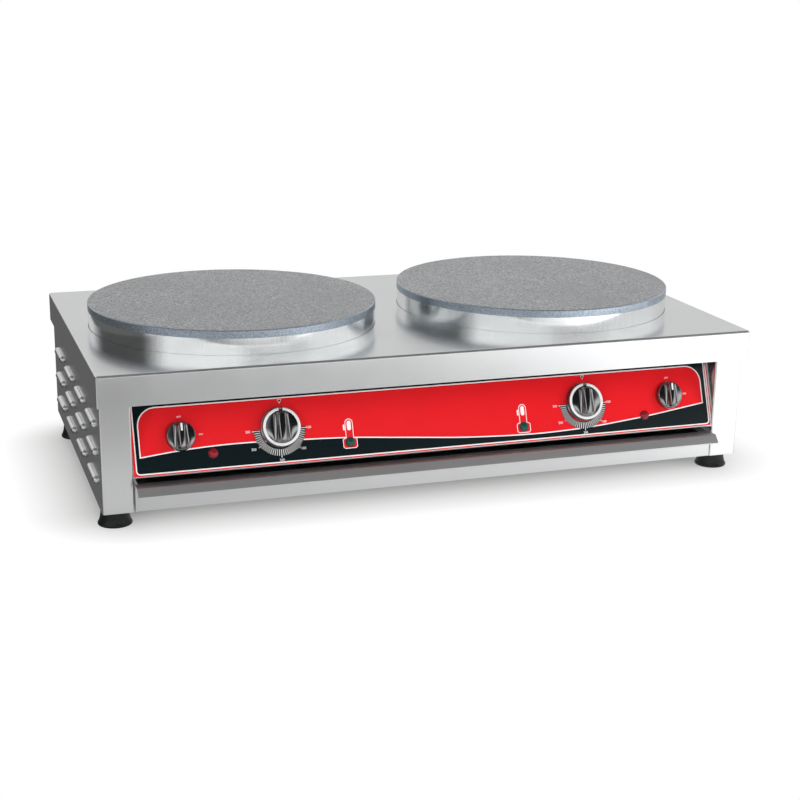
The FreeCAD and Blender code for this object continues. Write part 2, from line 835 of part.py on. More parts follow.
def make_foot(x, y):
    """A bell of revolution: a wide rim on the table, a waist and a narrower neck under the leg."""
    waist_radius = foot_top_radius + (foot_radius - foot_top_radius) * foot_waist
    corners = [(0, 0, 0), (foot_radius - foot_toe, 0, 0), (foot_radius, foot_toe, 0),
               (foot_radius, foot_rim, 0), (waist_radius, (foot_rim + leg_bottom) / 2, 0),
               (foot_top_radius, leg_bottom, 0), (0, leg_bottom, 0)]
    foot = turned(corners)
    foot = foot.cut(rod(foot_recess_radius, 0, 0, -overshoot, foot_recess_depth))
    foot = foot.cut(rod(foot_screw_radius + screw_clearance, 0, 0, 0, leg_bottom + overshoot))
    foot.translate(V(x, y, 0))
    return foot


def make_foot_screws():
    screws = []
    for _, sign in sides:
        for y in foot_y:
            x = sign * foot_x
            head = rod(foot_screw_head, x, y, foot_recess_depth - foot_screw_head_height, foot_recess_depth)
            screws.append(head.fuse(rod(foot_screw_radius, x, y, foot_recess_depth,
                                        flange_top_z + foot_nut_height + foot_screw_end)))
    return Part.makeCompound(screws)


def make_foot_nuts():
    nuts = []
    for _, sign in sides:
        for y in foot_y:
            x = sign * foot_x
            nut = hexagon(foot_nut_radius, x, y, flange_top_z, flange_top_z + foot_nut_height)
            nuts.append(nut.cut(rod(foot_screw_radius, x, y, leg_bottom, flange_top_z + 2 * foot_nut_height)))
    return Part.makeCompound(nuts)


def make_cable_gland():
    """Threaded barrel through the back panel with a flange, a hexagon and a domed cap."""
    hex_low = gland_flange_height
    cap_low = hex_low + gland_hex_height
    barrel = rod(gland_thread_radius, 0, 0, -back_wall - gland_inner_reach, 0)
    flange = rod(gland_flange_radius, 0, 0, 0, gland_flange_height)
    nut = hexagon(gland_hex_radius, 0, 0, hex_low, cap_low)
    cap = turned([(0, cap_low, 0), (gland_cap_radius, cap_low, 0), (gland_cap_end_radius, gland_reach, 0),
                  (0, gland_reach, 0)])
    gland = barrel.fuse(flange).fuse(nut).fuse(cap)
    gland = gland.cut(rod(gland_bore, 0, 0, -2 * gland_inner_reach, gland_reach + overshoot))
    gland.rotate(V(0, 0, 0), V(1, 0, 0), -90)
    gland.translate(V(gland_x, back_y, gland_z))
    return gland


def make_gland_nut():
    low = -back_wall - gland_hex_height
    nut = hexagon(gland_hex_radius, 0, 0, low, -back_wall)
    nut = nut.cut(rod(gland_thread_radius, 0, 0, 2 * low, overshoot))
    nut.rotate(V(0, 0, 0), V(1, 0, 0), -90)
    nut.translate(V(gland_x, back_y, gland_z))
    return nut


def make_terminal_block():
    y_high = back_y - block_from_back
    body = block(gland_x - block_length / 2, gland_x + block_length / 2, y_high - block_width, y_high,
                 floor_top_z, floor_top_z + block_height)
    pitch = block_length / block_ways
    top = floor_top_z + block_height
    for way in range(block_ways):
        x = gland_x + pitch * (way - (block_ways - 1) / 2)
        for side in (-1, 1):
            y = y_high - block_width / 2 + side * block_width / 4
            body = body.cut(rod(block_screw_radius, x, y, top - block_screw_depth, top + overshoot))
    return body


def build_nodes():
    nodes = {
        "top_cover": make_top_cover(),
        "back_panel": make_back_panel(),
        "back_screws": make_back_screws(),
        "inner_floor": make_inner_floor(),
        "control_panel": make_control_panel(),
        "panel_film": make_panel_film(),
        "rail_front": make_rail(rail_y[0]),
        "rail_rear": make_rail(rail_y[1]),
        "rail_screws": make_rail_screws(),
        "tie_bolts": make_tie_bolts(),
        "clamp_nuts": make_clamp_nuts(),
        "drawer_front": make_drawer_front(),
        "drawer_tray": make_drawer_tray(),
        "foot_screws": make_foot_screws(),
        "foot_nuts": make_foot_nuts(),
        "cable_gland": make_cable_gland(),
        "gland_nut": make_gland_nut(),
        "terminal_block": make_terminal_block(),
    }
    for side, sign in sides:
        thermostat = make_thermostat(sign)
        nodes["side_panel_" + side] = make_side_panel(sign)
        nodes["plate_" + side] = make_plate(sign)
        nodes["heater_bowl_" + side] = make_bowl(sign)
        nodes["clamp_disc_" + side] = make_clamp(sign)
        nodes["insulation_" + side] = make_insulation(sign)
        nodes["thermostat_" + side] = thermostat
        nodes["thermostat_probe_" + side] = make_probe(sign, thermostat)
        nodes["switch_" + side] = make_switch(sign)
        nodes["thermostat_spindle_" + side] = make_spindle(sign * thermostat_x, thermostat_v)
        nodes["switch_spindle_" + side] = make_spindle(sign * switch_x, switch_v)
        nodes["thermostat_knob_" + side] = make_thermostat_knob(sign)
        nodes["knob_ring_" + side] = make_knob_ring(sign)
        nodes["switch_knob_" + side] = make_switch_knob(sign)
        nodes["switch_pointer_" + side] = on_panel(make_pointer_cut(0.0), sign * switch_x, switch_v)
        nodes["drawer_runner_" + side] = make_runner(sign)
        nodes["heating_loops_" + side] = Part.makeCompound([make_loop(sign, radius) for radius in loops])
        for colour, x, v in lamps:
            nodes["lens_" + colour + "_" + side] = make_lens(sign * x, v)
        bodies = [make_lamp_body(sign * x, v) for _, x, v in lamps]
        nodes["lamp_bodies_" + side] = Part.makeCompound(bodies)
        for place, y in zip(("front", "rear"), foot_y):
            nodes["foot_" + place + "_" + side] = make_foot(sign * foot_x, y)
    return nodes


def export_nodes(nodes):
    os.makedirs("parts", exist_ok=True)
    for name, shape in nodes.items():
        solids = shape.Solids
        if not shape.isValid() or not solids or min(s.Volume for s in solids) <= 0:
            raise ValueError(name + " is not a valid closed solid")
        result = solids[0] if len(solids) == 1 else Part.makeCompound(solids)
        result.exportStep("parts/" + name + ".step")
        print(name, len(solids), round(result.Volume, 1))


export_nodes(build_nodes())
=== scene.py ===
import json
import math

import bmesh
import bpy
from bpy.props import FloatProperty, FloatVectorProperty, IntProperty, PointerProperty
from bpy.types import Operator, Panel, PropertyGroup
from mathutils import Matrix, Vector


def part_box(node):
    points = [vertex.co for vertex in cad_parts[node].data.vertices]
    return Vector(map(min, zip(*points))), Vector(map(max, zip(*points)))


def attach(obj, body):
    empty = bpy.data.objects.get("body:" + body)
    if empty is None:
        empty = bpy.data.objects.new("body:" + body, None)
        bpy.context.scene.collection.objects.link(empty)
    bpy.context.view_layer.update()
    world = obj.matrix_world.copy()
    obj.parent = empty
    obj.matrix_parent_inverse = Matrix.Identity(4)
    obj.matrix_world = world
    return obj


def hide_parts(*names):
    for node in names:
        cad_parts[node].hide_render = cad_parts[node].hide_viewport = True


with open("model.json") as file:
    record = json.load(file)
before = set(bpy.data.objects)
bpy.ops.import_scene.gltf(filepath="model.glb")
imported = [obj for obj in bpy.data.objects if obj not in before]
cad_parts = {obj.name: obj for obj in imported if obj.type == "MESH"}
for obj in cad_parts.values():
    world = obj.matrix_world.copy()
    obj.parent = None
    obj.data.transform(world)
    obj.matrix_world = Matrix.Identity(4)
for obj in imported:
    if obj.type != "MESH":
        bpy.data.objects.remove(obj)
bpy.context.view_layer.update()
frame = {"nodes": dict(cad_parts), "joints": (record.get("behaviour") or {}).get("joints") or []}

bl_info = {
    "name": "Crepe maker looks",
    "version": (1, 0, 0),
    "blender": (4, 5, 0),
    "location": "3D View > Sidebar > Crepe maker",
    "description": "Finishes, printed panel, knobs, lamps and feet of a crepe maker with two plates",
    "category": "Object",
}

MM = 0.001
SIDES = (("left", -1), ("right", 1))
JOINTS = {joint["name"]: joint for joint in frame["joints"]}

# The tilted panel: its directions come from the dials' joints, its lower edge from a dial's height
OUTWARD = -Vector(JOINTS["thermostat_turn_right"]["axis"])
ACROSS = Vector((1, 0, 0))
UPSLOPE = OUTWARD.cross(ACROSS)
THERMOSTAT_X = JOINTS["thermostat_turn_right"]["pos_m"][0]
THERMOSTAT_V = 50.5 * MM
SWITCH_X = JOINTS["switch_turn_right"]["pos_m"][0]
SWITCH_V = 50.0 * MM
GREEN_LAMP_X = 123.4 * MM
GREEN_LAMP_V = 23.4 * MM
RED_LAMP_X = 306.0 * MM
RED_LAMP_V = 24.6 * MM
PANEL_FOOT = (Vector(JOINTS["thermostat_turn_right"]["pos_m"]) - ACROSS * THERMOSTAT_X
              - UPSLOPE * THERMOSTAT_V)
FILM_TOP = 0.3 * MM
KNOB_FOOT = 1.2 * MM


class SteelLook(PropertyGroup):
    """Finish of the stainless sheet."""
    cover_colour: FloatVectorProperty(
        name="Cover colour", description="Colour of the folded cover", subtype="COLOR",
        size=4, default=(0.66, 0.665, 0.67, 1.0))
    body_colour: FloatVectorProperty(
        name="Body colour", description="Colour of the legs, sides and back", subtype="COLOR",
        size=4, default=(0.655, 0.66, 0.66, 1.0))
    collar_colour: FloatVectorProperty(
        name="Collar colour", description="Colour of the polished collars", subtype="COLOR",
        size=4, default=(0.78, 0.80, 0.80, 1.0))
    plate_colour: FloatVectorProperty(
        name="Plate colour", description="Colour of the blasted cooking faces", subtype="COLOR",
        size=4, default=(0.213, 0.217, 0.221, 1.0))


class PrintLook(PropertyGroup):
    """Colours and sizes of the printed film."""
    red: FloatVectorProperty(
        name="Red", description="Red ink of the film", subtype="COLOR", size=4,
        default=(0.80, 0.011, 0.017, 1.0))
    black: FloatVectorProperty(
        name="Black", description="Black ink of the film", subtype="COLOR", size=4,
        default=(0.003, 0.0085, 0.0105, 1.0))
    white: FloatVectorProperty(
        name="White", description="White ink of the film", subtype="COLOR", size=4,
        default=(0.95, 0.94, 0.94, 1.0))
    layer: FloatProperty(
        name="Layer", description="Height of one layer of ink", unit="LENGTH", default=0.04 * MM)
    line: FloatProperty(
        name="Line", description="Width of the white outlines", unit="LENGTH", default=1.5 * MM)
    ticks: IntProperty(name="Ticks", description="Ticks of a thermostat scale", default=35)
    tick_width: FloatProperty(
        name="Tick width", description="Width of a tick", unit="LENGTH", default=0.8 * MM)
    fan_inner: FloatProperty(
        name="Fan inner", description="Inner radius of the scale", unit="LENGTH", default=25.5 * MM)
    fan_outer: FloatProperty(
        name="Fan outer", description="Outer radius of the scale", unit="LENGTH", default=33.9 * MM)
    fan_drop: FloatProperty(
        name="Fan drop", description="How far the scale sits under the knob's centre", unit="LENGTH",
        default=3.0 * MM)
    fan_shift: FloatProperty(
        name="Fan shift", description="How far the scale sits left of the knob's centre", unit="LENGTH",
        default=1.2 * MM)
    number_size: FloatProperty(
        name="Number size", description="Height of the scale's numbers", unit="LENGTH", default=4.4 * MM)
    word_size: FloatProperty(
        name="Word size", description="Height of the words", unit="LENGTH", default=3.3 * MM)


class KnobSizes(PropertyGroup):
    """Sizes of the dials."""
    skirt_radius: FloatProperty(
        name="Skirt radius", description="Thermostat knob's rim", unit="LENGTH", default=26.5 * MM)
    knob_height: FloatProperty(
        name="Knob height", description="Thermostat knob's face", unit="LENGTH", default=9.0 * MM)
    ring_outer: FloatProperty(
        name="Ring outer", description="Bright ring's outer radius", unit="LENGTH", default=24.8 * MM)
    ring_inner: FloatProperty(
        name="Ring inner", description="Bright ring's inner radius", unit="LENGTH", default=21.3 * MM)
    switch_radius: FloatProperty(
        name="Switch radius", description="Switch knob's rim", unit="LENGTH", default=19.5 * MM)
    switch_height: FloatProperty(
        name="Switch height", description="Switch knob's face", unit="LENGTH", default=8.0 * MM)
    grip_height: FloatProperty(
        name="Grip height", description="Height of the bars over the faces", unit="LENGTH", default=7.5 * MM)


class StudioLook(PropertyGroup):
    """Light, floor and view."""
    sky: FloatProperty(name="Sky", description="Strength of the even light", default=0.45)
    mirror_front: FloatProperty(
        name="Bright side", description="Strength of the front sky where metal mirrors it", default=2.0)
    mirror_back: FloatProperty(
        name="Far side", description="Strength of the far sky where metal mirrors it", default=0.78)
    top_power: FloatProperty(
        name="Top light", description="Power of the light overhead", unit="POWER", default=28.0)
    front_power: FloatProperty(
        name="Front light", description="Power of the light before the front", unit="POWER", default=12.0)
    key_power: FloatProperty(
        name="Key light", description="Power of the light at the right", unit="POWER", default=20.0)
    fill_power: FloatProperty(
        name="Fill light", description="Power of the light at the left", unit="POWER", default=8.0)
    lens: FloatProperty(name="Lens", description="Focal length on a 36 mm frame", default=69.007)


def deselect():
    if bpy.context.object and bpy.context.object.mode != "OBJECT":
        bpy.ops.object.mode_set(mode="OBJECT")
    bpy.ops.object.select_all(action="DESELECT")


def choose(piece):
    deselect()
    piece.select_set(True)
    bpy.context.view_layer.objects.active = piece
    return piece


def named(name):
    piece = bpy.context.object
    piece.name = name
    piece.data.name = name
    return piece


def settle(piece, matrix=None):
    """Moves a piece to its place and writes the place into its mesh."""
    choose(piece)
    if matrix is not None:
        piece.matrix_world = matrix @ piece.matrix_world
    bpy.ops.object.transform_apply(location=True, rotation=True, scale=True)
    return piece


def on_panel(x, v):
    """The place on the tilted panel, x across and v up the slope, with Z outwards."""
    point = PANEL_FOOT + ACROSS * x + UPSLOPE * v
    turn = Matrix((ACROSS, UPSLOPE, OUTWARD)).transposed().to_4x4()
    return Matrix.Translation(point) @ turn


def begin_edit(piece, test, kind="FACE"):
    """Edit mode with the faces, edges or points selected for which the test is true."""
    choose(piece)
    bpy.ops.object.mode_set(mode="EDIT")
    bpy.ops.mesh.select_mode(type=kind)
    bpy.ops.mesh.select_all(action="DESELECT")
    mesh = bmesh.from_edit_mesh(piece.data)
    for item in {"FACE": mesh.faces, "EDGE": mesh.edges, "VERT": mesh.verts}[kind]:
        if test(item):
            item.select_set(True)
    mesh.select_flush_mode()
    bmesh.update_edit_mesh(piece.data)


def end_edit():
    bpy.ops.object.mode_set(mode="OBJECT")


def smooth(piece, angle=35):
    choose(piece)
    bpy.ops.object.shade_smooth_by_angle(angle=math.radians(angle))
    return piece


def apply_modifier(piece, kind, **values):
    choose(piece)
    bpy.ops.object.modifier_add(type=kind)
    modifier = piece.modifiers[-1]
    for key, value in values.items():
        setattr(modifier, key, value)
    bpy.ops.object.modifier_apply(modifier=modifier.name)
    return piece


def soften(piece, width, segments=2, angle=30):
    """Rounds every sharp edge of a piece."""
    return apply_modifier(piece, "BEVEL", width=width, segments=segments, limit_method="ANGLE",
                          angle_limit=math.radians(angle), harden_normals=False)


def joined(pieces, name):
    deselect()
    for piece in pieces:
        piece.select_set(True)
    bpy.context.view_layer.objects.active = pieces[0]
    bpy.ops.object.join()
    return named(name)


def turned(name, profile, steps=96):
    """A piece turned round Z from a profile of (radius, height) points."""
    deselect()
    bpy.ops.mesh.primitive_plane_add(size=MM)
    piece = named(name)
    bpy.ops.object.mode_set(mode="EDIT")
    bpy.ops.mesh.select_mode(type="VERT")
    bpy.ops.mesh.select_all(action="SELECT")
    bpy.ops.mesh.merge(type="CENTER")
    bpy.ops.transform.translate(value=(profile[0][0], 0, profile[0][1]))
    for (r_last, z_last), (r, z) in zip(profile, profile[1:]):
        bpy.ops.mesh.extrude_vertices_move(TRANSFORM_OT_translate={"value": (r - r_last, 0, z - z_last)})
    bpy.ops.mesh.select_all(action="SELECT")
    bpy.ops.mesh.spin(steps=steps, angle=2 * math.pi, center=(0, 0, 0), axis=(0, 0, 1))
    bpy.ops.mesh.select_all(action="SELECT")
    bpy.ops.mesh.remove_doubles(threshold=0.002 * MM)
    bpy.ops.mesh.normals_make_consistent(inside=False)
    end_edit()
    return piece


def flat_shape(name, points, low, high, grow=0.0):
    """A flat shape from bezier points (x, y, smooth), raised from low to high."""
    deselect()
    curve = bpy.data.curves.new(name, "CURVE")
    curve.dimensions = "2D"
    curve.fill_mode = "BOTH"
    curve.resolution_u = 10
    curve.offset = grow
    curve.extrude = (high - low) / 2
    spline = curve.splines.new("BEZIER")
    spline.bezier_points.add(len(points) - 1)
    for knot, (x, y, rounded) in zip(spline.bezier_points, points):
        knot.co = (x, y, 0)
        knot.handle_left_type = "AUTO" if rounded else "VECTOR"
        knot.handle_right_type = "AUTO" if rounded else "VECTOR"
    spline.use_cyclic_u = True
    piece = bpy.data.objects.new(name, curve)
    bpy.context.scene.collection.objects.link(piece)
    piece.location = (0, 0, (high + low) / 2)
    choose(piece)
    bpy.ops.object.convert(target="MESH")
    return settle(named(name))


def rounded_box(x_low, x_high, y_low, y_high, radius):
    """Bezier points of a box with round corners."""
    points = []
    corners = ((x_high, y_low, -90), (x_high, y_high, 0), (x_low, y_high, 90), (x_low, y_low, 180))
    for x, y, start in corners:
        centre_x = x - radius if x == x_high else x + radius
        centre_y = y - radius if y == y_high else y + radius
        for step in range(5):
            angle = math.radians(start + 22.5 * step)
            points.append((centre_x + radius * math.cos(angle), centre_y + radius * math.sin(angle), False))
    return points


def new_group(name, inputs, outputs):
    tree = bpy.data.node_groups.new(name, "ShaderNodeTree")
    for socket, kind in inputs:
        tree.interface.new_socket(name=socket, in_out="INPUT", socket_type=kind)
    for socket, kind in outputs:
        tree.interface.new_socket(name=socket, in_out="OUTPUT", socket_type=kind)
    return tree, tree.nodes.new("NodeGroupInput"), tree.nodes.new("NodeGroupOutput")


def noise(tree, vector, scale, detail=4.0, roughness=0.55):
    node = tree.nodes.new("ShaderNodeTexNoise")
    node.inputs["Scale"].default_value = scale
    node.inputs["Detail"].default_value = detail
    node.inputs["Roughness"].default_value = roughness
    tree.links.new(vector, node.inputs["Vector"])
    return node.outputs["Fac"]


def ranged(tree, value, low, high, from_low=0.0, from_high=1.0):
    node = tree.nodes.new("ShaderNodeMapRange")
    node.inputs["From Min"].default_value = from_low
    node.inputs["From Max"].default_value = from_high
    node.inputs["To Min"].default_value = low
    node.inputs["To Max"].default_value = high
    tree.links.new(value, node.inputs["Value"])
    return node.outputs["Result"]


def summed(tree, first, second, operation="ADD"):
    node = tree.nodes.new("ShaderNodeMath")
    node.operation = operation
    tree.links.new(first, node.inputs[0])
    if isinstance(second, (int, float)):
        node.inputs[1].default_value = second
    else:
        tree.links.new(second, node.inputs[1])
    return node.outputs[0]


def stepped(tree, vector, operation, other=(0, 0, 0)):
    """One step of vector arithmetic."""
    node = tree.nodes.new("ShaderNodeVectorMath")
    node.operation = operation
    tree.links.new(vector, node.inputs[0])
    node.inputs[1].default_value = other
    return node.outputs["Value" if operation in ("DOT_PRODUCT", "LENGTH") else "Vector"]


def dotted(tree, vector, axis):
    """How far a direction or a place reaches along an axis."""
    return stepped(tree, vector, "DOT_PRODUCT", axis)


def mixed(tree, mask, first, second):
    """One of two values by a mask; a value is a socket or a number."""
    node = tree.nodes.new("ShaderNodeMix")
    tree.links.new(mask, node.inputs[0])
    for place, value in ((node.inputs[2], first), (node.inputs[3], second)):
        if isinstance(value, bpy.types.NodeSocket):
            tree.links.new(value, place)
        else:
            place.default_value = value
    return node.outputs[0]


def blended(tree, mask, first, second):
    """One of two colours by a mask; a colour is a socket or four numbers."""
    node = tree.nodes.new("ShaderNodeMix")
    node.data_type = "RGBA"
    tree.links.new(mask, node.inputs["Factor"])
    for socket, value in (("A", first), ("B", second)):
        place = [s for s in node.inputs if s.name == socket and s.type == "RGBA"][0]
        if isinstance(value, bpy.types.NodeSocket):
            tree.links.new(value, place)
        else:
            place.default_value = value
    return [s for s in node.outputs if s.type == "RGBA"][0]


def scaled(colour, factor):
    return tuple(min(1.0, c * factor) for c in colour[:3]) + (1.0,)


def grain_group():
    """Brushing lines and smudges for sheet metal."""
    tree, start, end = new_group(
        "brushed grain",
        (("Coordinates", "NodeSocketVector"), ("Stretch", "NodeSocketVector")),
        (("Grain", "NodeSocketFloat"), ("Smudge", "NodeSocketFloat")))
    stretch = tree.nodes.new("ShaderNodeVectorMath")
    stretch.operation = "MULTIPLY"
    tree.links.new(start.outputs["Coordinates"], stretch.inputs[0])
    tree.links.new(start.outputs["Stretch"], stretch.inputs[1])
    fine = noise(tree, stretch.outputs[0], 1.0, 5.0, 0.7)
    tree.links.new(fine, end.inputs["Grain"])
    cloud = noise(tree, start.outputs["Coordinates"], 9.0, 3.0, 0.6)
    tree.links.new(ranged(tree, cloud, 0.0, 1.0, 0.42, 0.72), end.inputs["Smudge"])
    return tree


def speckle_group():
    """Sand-cast and blasted surface: grains of two sizes and slow patches."""
    tree, start, end = new_group(
        "blasted speckle",
        (("Coordinates", "NodeSocketVector"),),
        (("Speckle", "NodeSocketFloat"), ("Patch", "NodeSocketFloat"), ("Height", "NodeSocketFloat")))
    coordinates = start.outputs["Coordinates"]
    small = noise(tree, coordinates, 760.0, 2.0, 0.6)
    large = noise(tree, coordinates, 440.0, 2.0, 0.5)
    both = summed(tree, small, large)
    tree.links.new(ranged(tree, both, 0.0, 1.0, 0.78, 1.22), end.inputs["Speckle"])
    tree.links.new(noise(tree, coordinates, 7.0, 3.0, 0.5), end.inputs["Patch"])
    tree.links.new(both, end.inputs["Height"])
    return tree


def moulded_group():
    """Fine moulding texture and slow waviness for plastic, rubber and ink."""
    tree, start, end = new_group(
        "moulded surface",
        (("Coordinates", "NodeSocketVector"), ("Fineness", "NodeSocketFloat")),
        (("Texture", "NodeSocketFloat"), ("Wave", "NodeSocketFloat")))
    fine = tree.nodes.new("ShaderNodeTexNoise")
    fine.inputs["Detail"].default_value = 3.0
    tree.links.new(start.outputs["Coordinates"], fine.inputs["Vector"])
    tree.links.new(start.outputs["Fineness"], fine.inputs["Scale"])
    tree.links.new(fine.outputs["Fac"], end.inputs["Texture"])
    tree.links.new(noise(tree, start.outputs["Coordinates"], 22.0, 2.0), end.inputs["Wave"])
    return tree


def begin_material(name, metallic=0.0, coat=0.0):
    material = bpy.data.materials.new(name)
    material.use_nodes = True
    tree = material.node_tree
    shader = tree.nodes["Principled BSDF"]
    shader.inputs["Metallic"].default_value = metallic
    shader.inputs["Coat Weight"].default_value = coat
    coordinates = tree.nodes.new("ShaderNodeTexCoord").outputs["Object"]
    return material, tree, shader, coordinates


def placed_group(tree, group, coordinates):
    node = tree.nodes.new("ShaderNodeGroup")
    node.node_tree = bpy.data.node_groups[group]
    tree.links.new(coordinates, node.inputs["Coordinates"])
    return node


def bumped(tree, shader, height, strength, distance):
    bump = tree.nodes.new("ShaderNodeBump")
    bump.inputs["Strength"].default_value = strength
    bump.inputs["Distance"].default_value = distance
    tree.links.new(height, bump.inputs["Height"])
    tree.links.new(bump.outputs["Normal"], shader.inputs["Normal"])


def steel(name, colour, stretch, roughness, spread=0.06, smudge=0.05, contrast=0.05, bump=0.03, gloss=0.0):
    """Brushed or polished stainless sheet with its grain along one direction."""
    material, tree, shader, coordinates = begin_material(name, metallic=1.0, coat=gloss)
    shader.inputs["Coat Roughness"].default_value = 0.05
    grain = placed_group(tree, "brushed grain", coordinates)
    grain.inputs["Stretch"].default_value = stretch
    tint = blended(tree, grain.outputs["Grain"], scaled(colour, 1 - contrast), scaled(colour, 1 + contrast))
    tree.links.new(tint, shader.inputs["Base Color"])
    rough = ranged(tree, grain.outputs["Grain"], roughness - spread, roughness + spread, 0.3, 0.7)
    cloud = ranged(tree, grain.outputs["Smudge"], 0.0, smudge)
    tree.links.new(summed(tree, rough, cloud), shader.inputs["Roughness"])
    bumped(tree, shader, grain.outputs["Grain"], bump, 0.2 * MM)
    return material


def moulded(name, colour, roughness, fineness=900.0, spread=0.06, bump=0.1, coat=0.0, contrast=0.12,
            specular=0.5, ior=1.5):
    """Plastic, rubber or ink with a fine texture."""
    material, tree, shader, coordinates = begin_material(name, coat=coat)
    shader.inputs["Coat Roughness"].default_value = 0.05
    shader.inputs["Coat IOR"].default_value = ior
    shader.inputs["IOR"].default_value = ior
    shader.inputs["Specular IOR Level"].default_value = specular
    surface = placed_group(tree, "moulded surface", coordinates)
    surface.inputs["Fineness"].default_value = fineness
    tint = blended(tree, surface.outputs["Wave"], scaled(colour, 1 - contrast), scaled(colour, 1 + contrast))
    tree.links.new(tint, shader.inputs["Base Color"])
    rough = ranged(tree, surface.outputs["Texture"], roughness - spread, roughness + spread, 0.3, 0.7)
    tree.links.new(rough, shader.inputs["Roughness"])
    bumped(tree, shader, surface.outputs["Texture"], bump, 0.1 * MM)
    return material


def cast_plate(name, colour):
    """Blasted cooking face with a machined rim: the face is what looks up."""
    material, tree, shader, coordinates = begin_material(name)
    speckle = placed_group(tree, "blasted speckle", coordinates)
    grain = placed_group(tree, "brushed grain", coordinates)
    grain.inputs["Stretch"].default_value = (60.0, 60.0, 2200.0)
    shape = tree.nodes.new("ShaderNodeNewGeometry")
    parts = tree.nodes.new("ShaderNodeSeparateXYZ")
    tree.links.new(shape.outputs["Normal"], parts.inputs[0])
    face = ranged(tree, parts.outputs["Z"], 0.0, 1.0, 0.85, 0.95)
    sandy = blended(tree, speckle.outputs["Speckle"], scaled(colour, 0.35), scaled(colour, 1.70))
    patchy = blended(tree, ranged(tree, speckle.outputs["Patch"], 0.0, 0.4, 0.40, 0.65), sandy,
                     scaled(colour, 0.84))
    band = blended(tree, speckle.outputs["Speckle"], (0.27, 0.33, 0.39, 1), (0.50, 0.56, 0.63, 1))
    tree.links.new(blended(tree, face, band, patchy), shader.inputs["Base Color"])
    tree.links.new(ranged(tree, face, 0.9, 0.2), shader.inputs["Metallic"])
    rough = summed(tree, ranged(tree, face, 0.36, 0.55), ranged(tree, grain.outputs["Grain"], -0.06, 0.08))
    tree.links.new(rough, shader.inputs["Roughness"])
    height = summed(tree, speckle.outputs["Height"], face, "MULTIPLY")
    bumped(tree, shader, height, 0.3, 0.25 * MM)
    return material


def lamp_lens(name, colour):
    """Moulded lens that is darker where the eye looks through more of it."""
    material, tree, shader, coordinates = begin_material(name, coat=0.25)
    surface = placed_group(tree, "moulded surface", coordinates)
    surface.inputs["Fineness"].default_value = 300.0
    edge = tree.nodes.new("ShaderNodeLayerWeight")
    edge.inputs["Blend"].default_value = 0.35
    tint = blended(tree, surface.outputs["Wave"], scaled(colour, 0.8), scaled(colour, 1.2))
    deep = blended(tree, edge.outputs["Facing"], tint, scaled(colour, 0.25))
    tree.links.new(deep, shader.inputs["Base Color"])
    tree.links.new(ranged(tree, surface.outputs["Texture"], 0.08, 0.18), shader.inputs["Roughness"])
    shader.inputs["IOR"].default_value = 1.49
    bumped(tree, shader, surface.outputs["Texture"], 0.05, 0.1 * MM)
    return material


def dress(material, *nodes):
    for node in nodes:
        for slot in frame["nodes"][node].material_slots:
            slot.material = material


def both(name):
    return name + "_left", name + "_right"


def paint(piece, material):
    piece.data.materials.clear()
    piece.data.materials.append(material)
    return piece


class CREPE_OT_body(Operator):
    """Gives the folded sheet, collars and plates their finishes"""
    bl_idname = "crepe.body"
    bl_label = "Finish body"

    def execute(self, context):
        look = context.scene.crepe_steel
        grain_group()
        speckle_group()
        moulded_group()
        along_x = (14.0, 2600.0, 2600.0)
        along_z = (2600.0, 2600.0, 14.0)
        cover = steel("satin cover sheet", look.cover_colour, (14.0, 2200.0, 2600.0), 0.20, 0.03, 0.05, 0.03,
                      0.02, gloss=0.2)
        body = steel("satin body sheet", look.body_colour, along_z, 0.20, 0.03, 0.05, 0.03, 0.015, gloss=0.2)
        drawer = steel("satin drawer sheet", look.cover_colour, along_x, 0.42, 0.05, 0.05)
        inner = steel("drawn tray sheet", look.body_colour, (900.0, 900.0, 900.0), 0.32, 0.06, 0.08)
        collar = steel("polished collar", look.collar_colour, (1500.0, 1500.0, 9.0), 0.11, 0.04, 0.03,
                       contrast=0.22, bump=0.10)
        dress(cover, "top_cover")
        dress(body, *both("side_panel"), "control_panel", "back_panel")
        dress(drawer, "drawer_front")
        dress(inner, "drawer_tray", "inner_floor")
        dress(collar, *both("heater_bowl"))
        dress(cast_plate("blasted cast plate", look.plate_colour), *both("plate"))
        return {"FINISHED"}


class CREPE_OT_inside(Operator):
    """Gives the pieces inside the housing their finishes"""
    bl_idname = "crepe.inside"
    bl_label = "Finish inner pieces"

    def execute(self, context):
        zinc = steel("zinc plate", (0.56, 0.57, 0.58, 1), (300.0, 300.0, 300.0), 0.34, 0.08, 0.10)
        dress(zinc, "rail_front", "rail_rear", *both("drawer_runner"), *both("clamp_disc"), "clamp_nuts",
              "tie_bolts", "foot_nuts", "foot_screws", "back_screws", "rail_screws",
              *both("thermostat_spindle"), *both("switch_spindle"))
        loop = steel("oxidised heating tube", (0.16, 0.15, 0.15, 1), (200.0, 200.0, 200.0), 0.5, 0.1, 0.1)
        dress(loop, *both("heating_loops"))
        dress(steel("drawn copper", (0.80, 0.44, 0.30, 1), (400.0, 400.0, 400.0), 0.3), *both("thermostat_probe"))
        dress(moulded("ceramic fibre", (0.80, 0.78, 0.72, 1), 0.9, 260.0, bump=0.6), *both("insulation"))
        case = moulded("dark moulded case", (0.035, 0.035, 0.038, 1), 0.42)
        dress(case, *both("thermostat"), *both("switch"), *both("lamp_bodies"))
        dress(moulded("pale moulded block", (0.74, 0.72, 0.66, 1), 0.4), "terminal_block")
        dress(moulded("black nylon", (0.018, 0.018, 0.019, 1), 0.38), "gland_nut", "cable_gland")
        return {"FINISHED"}


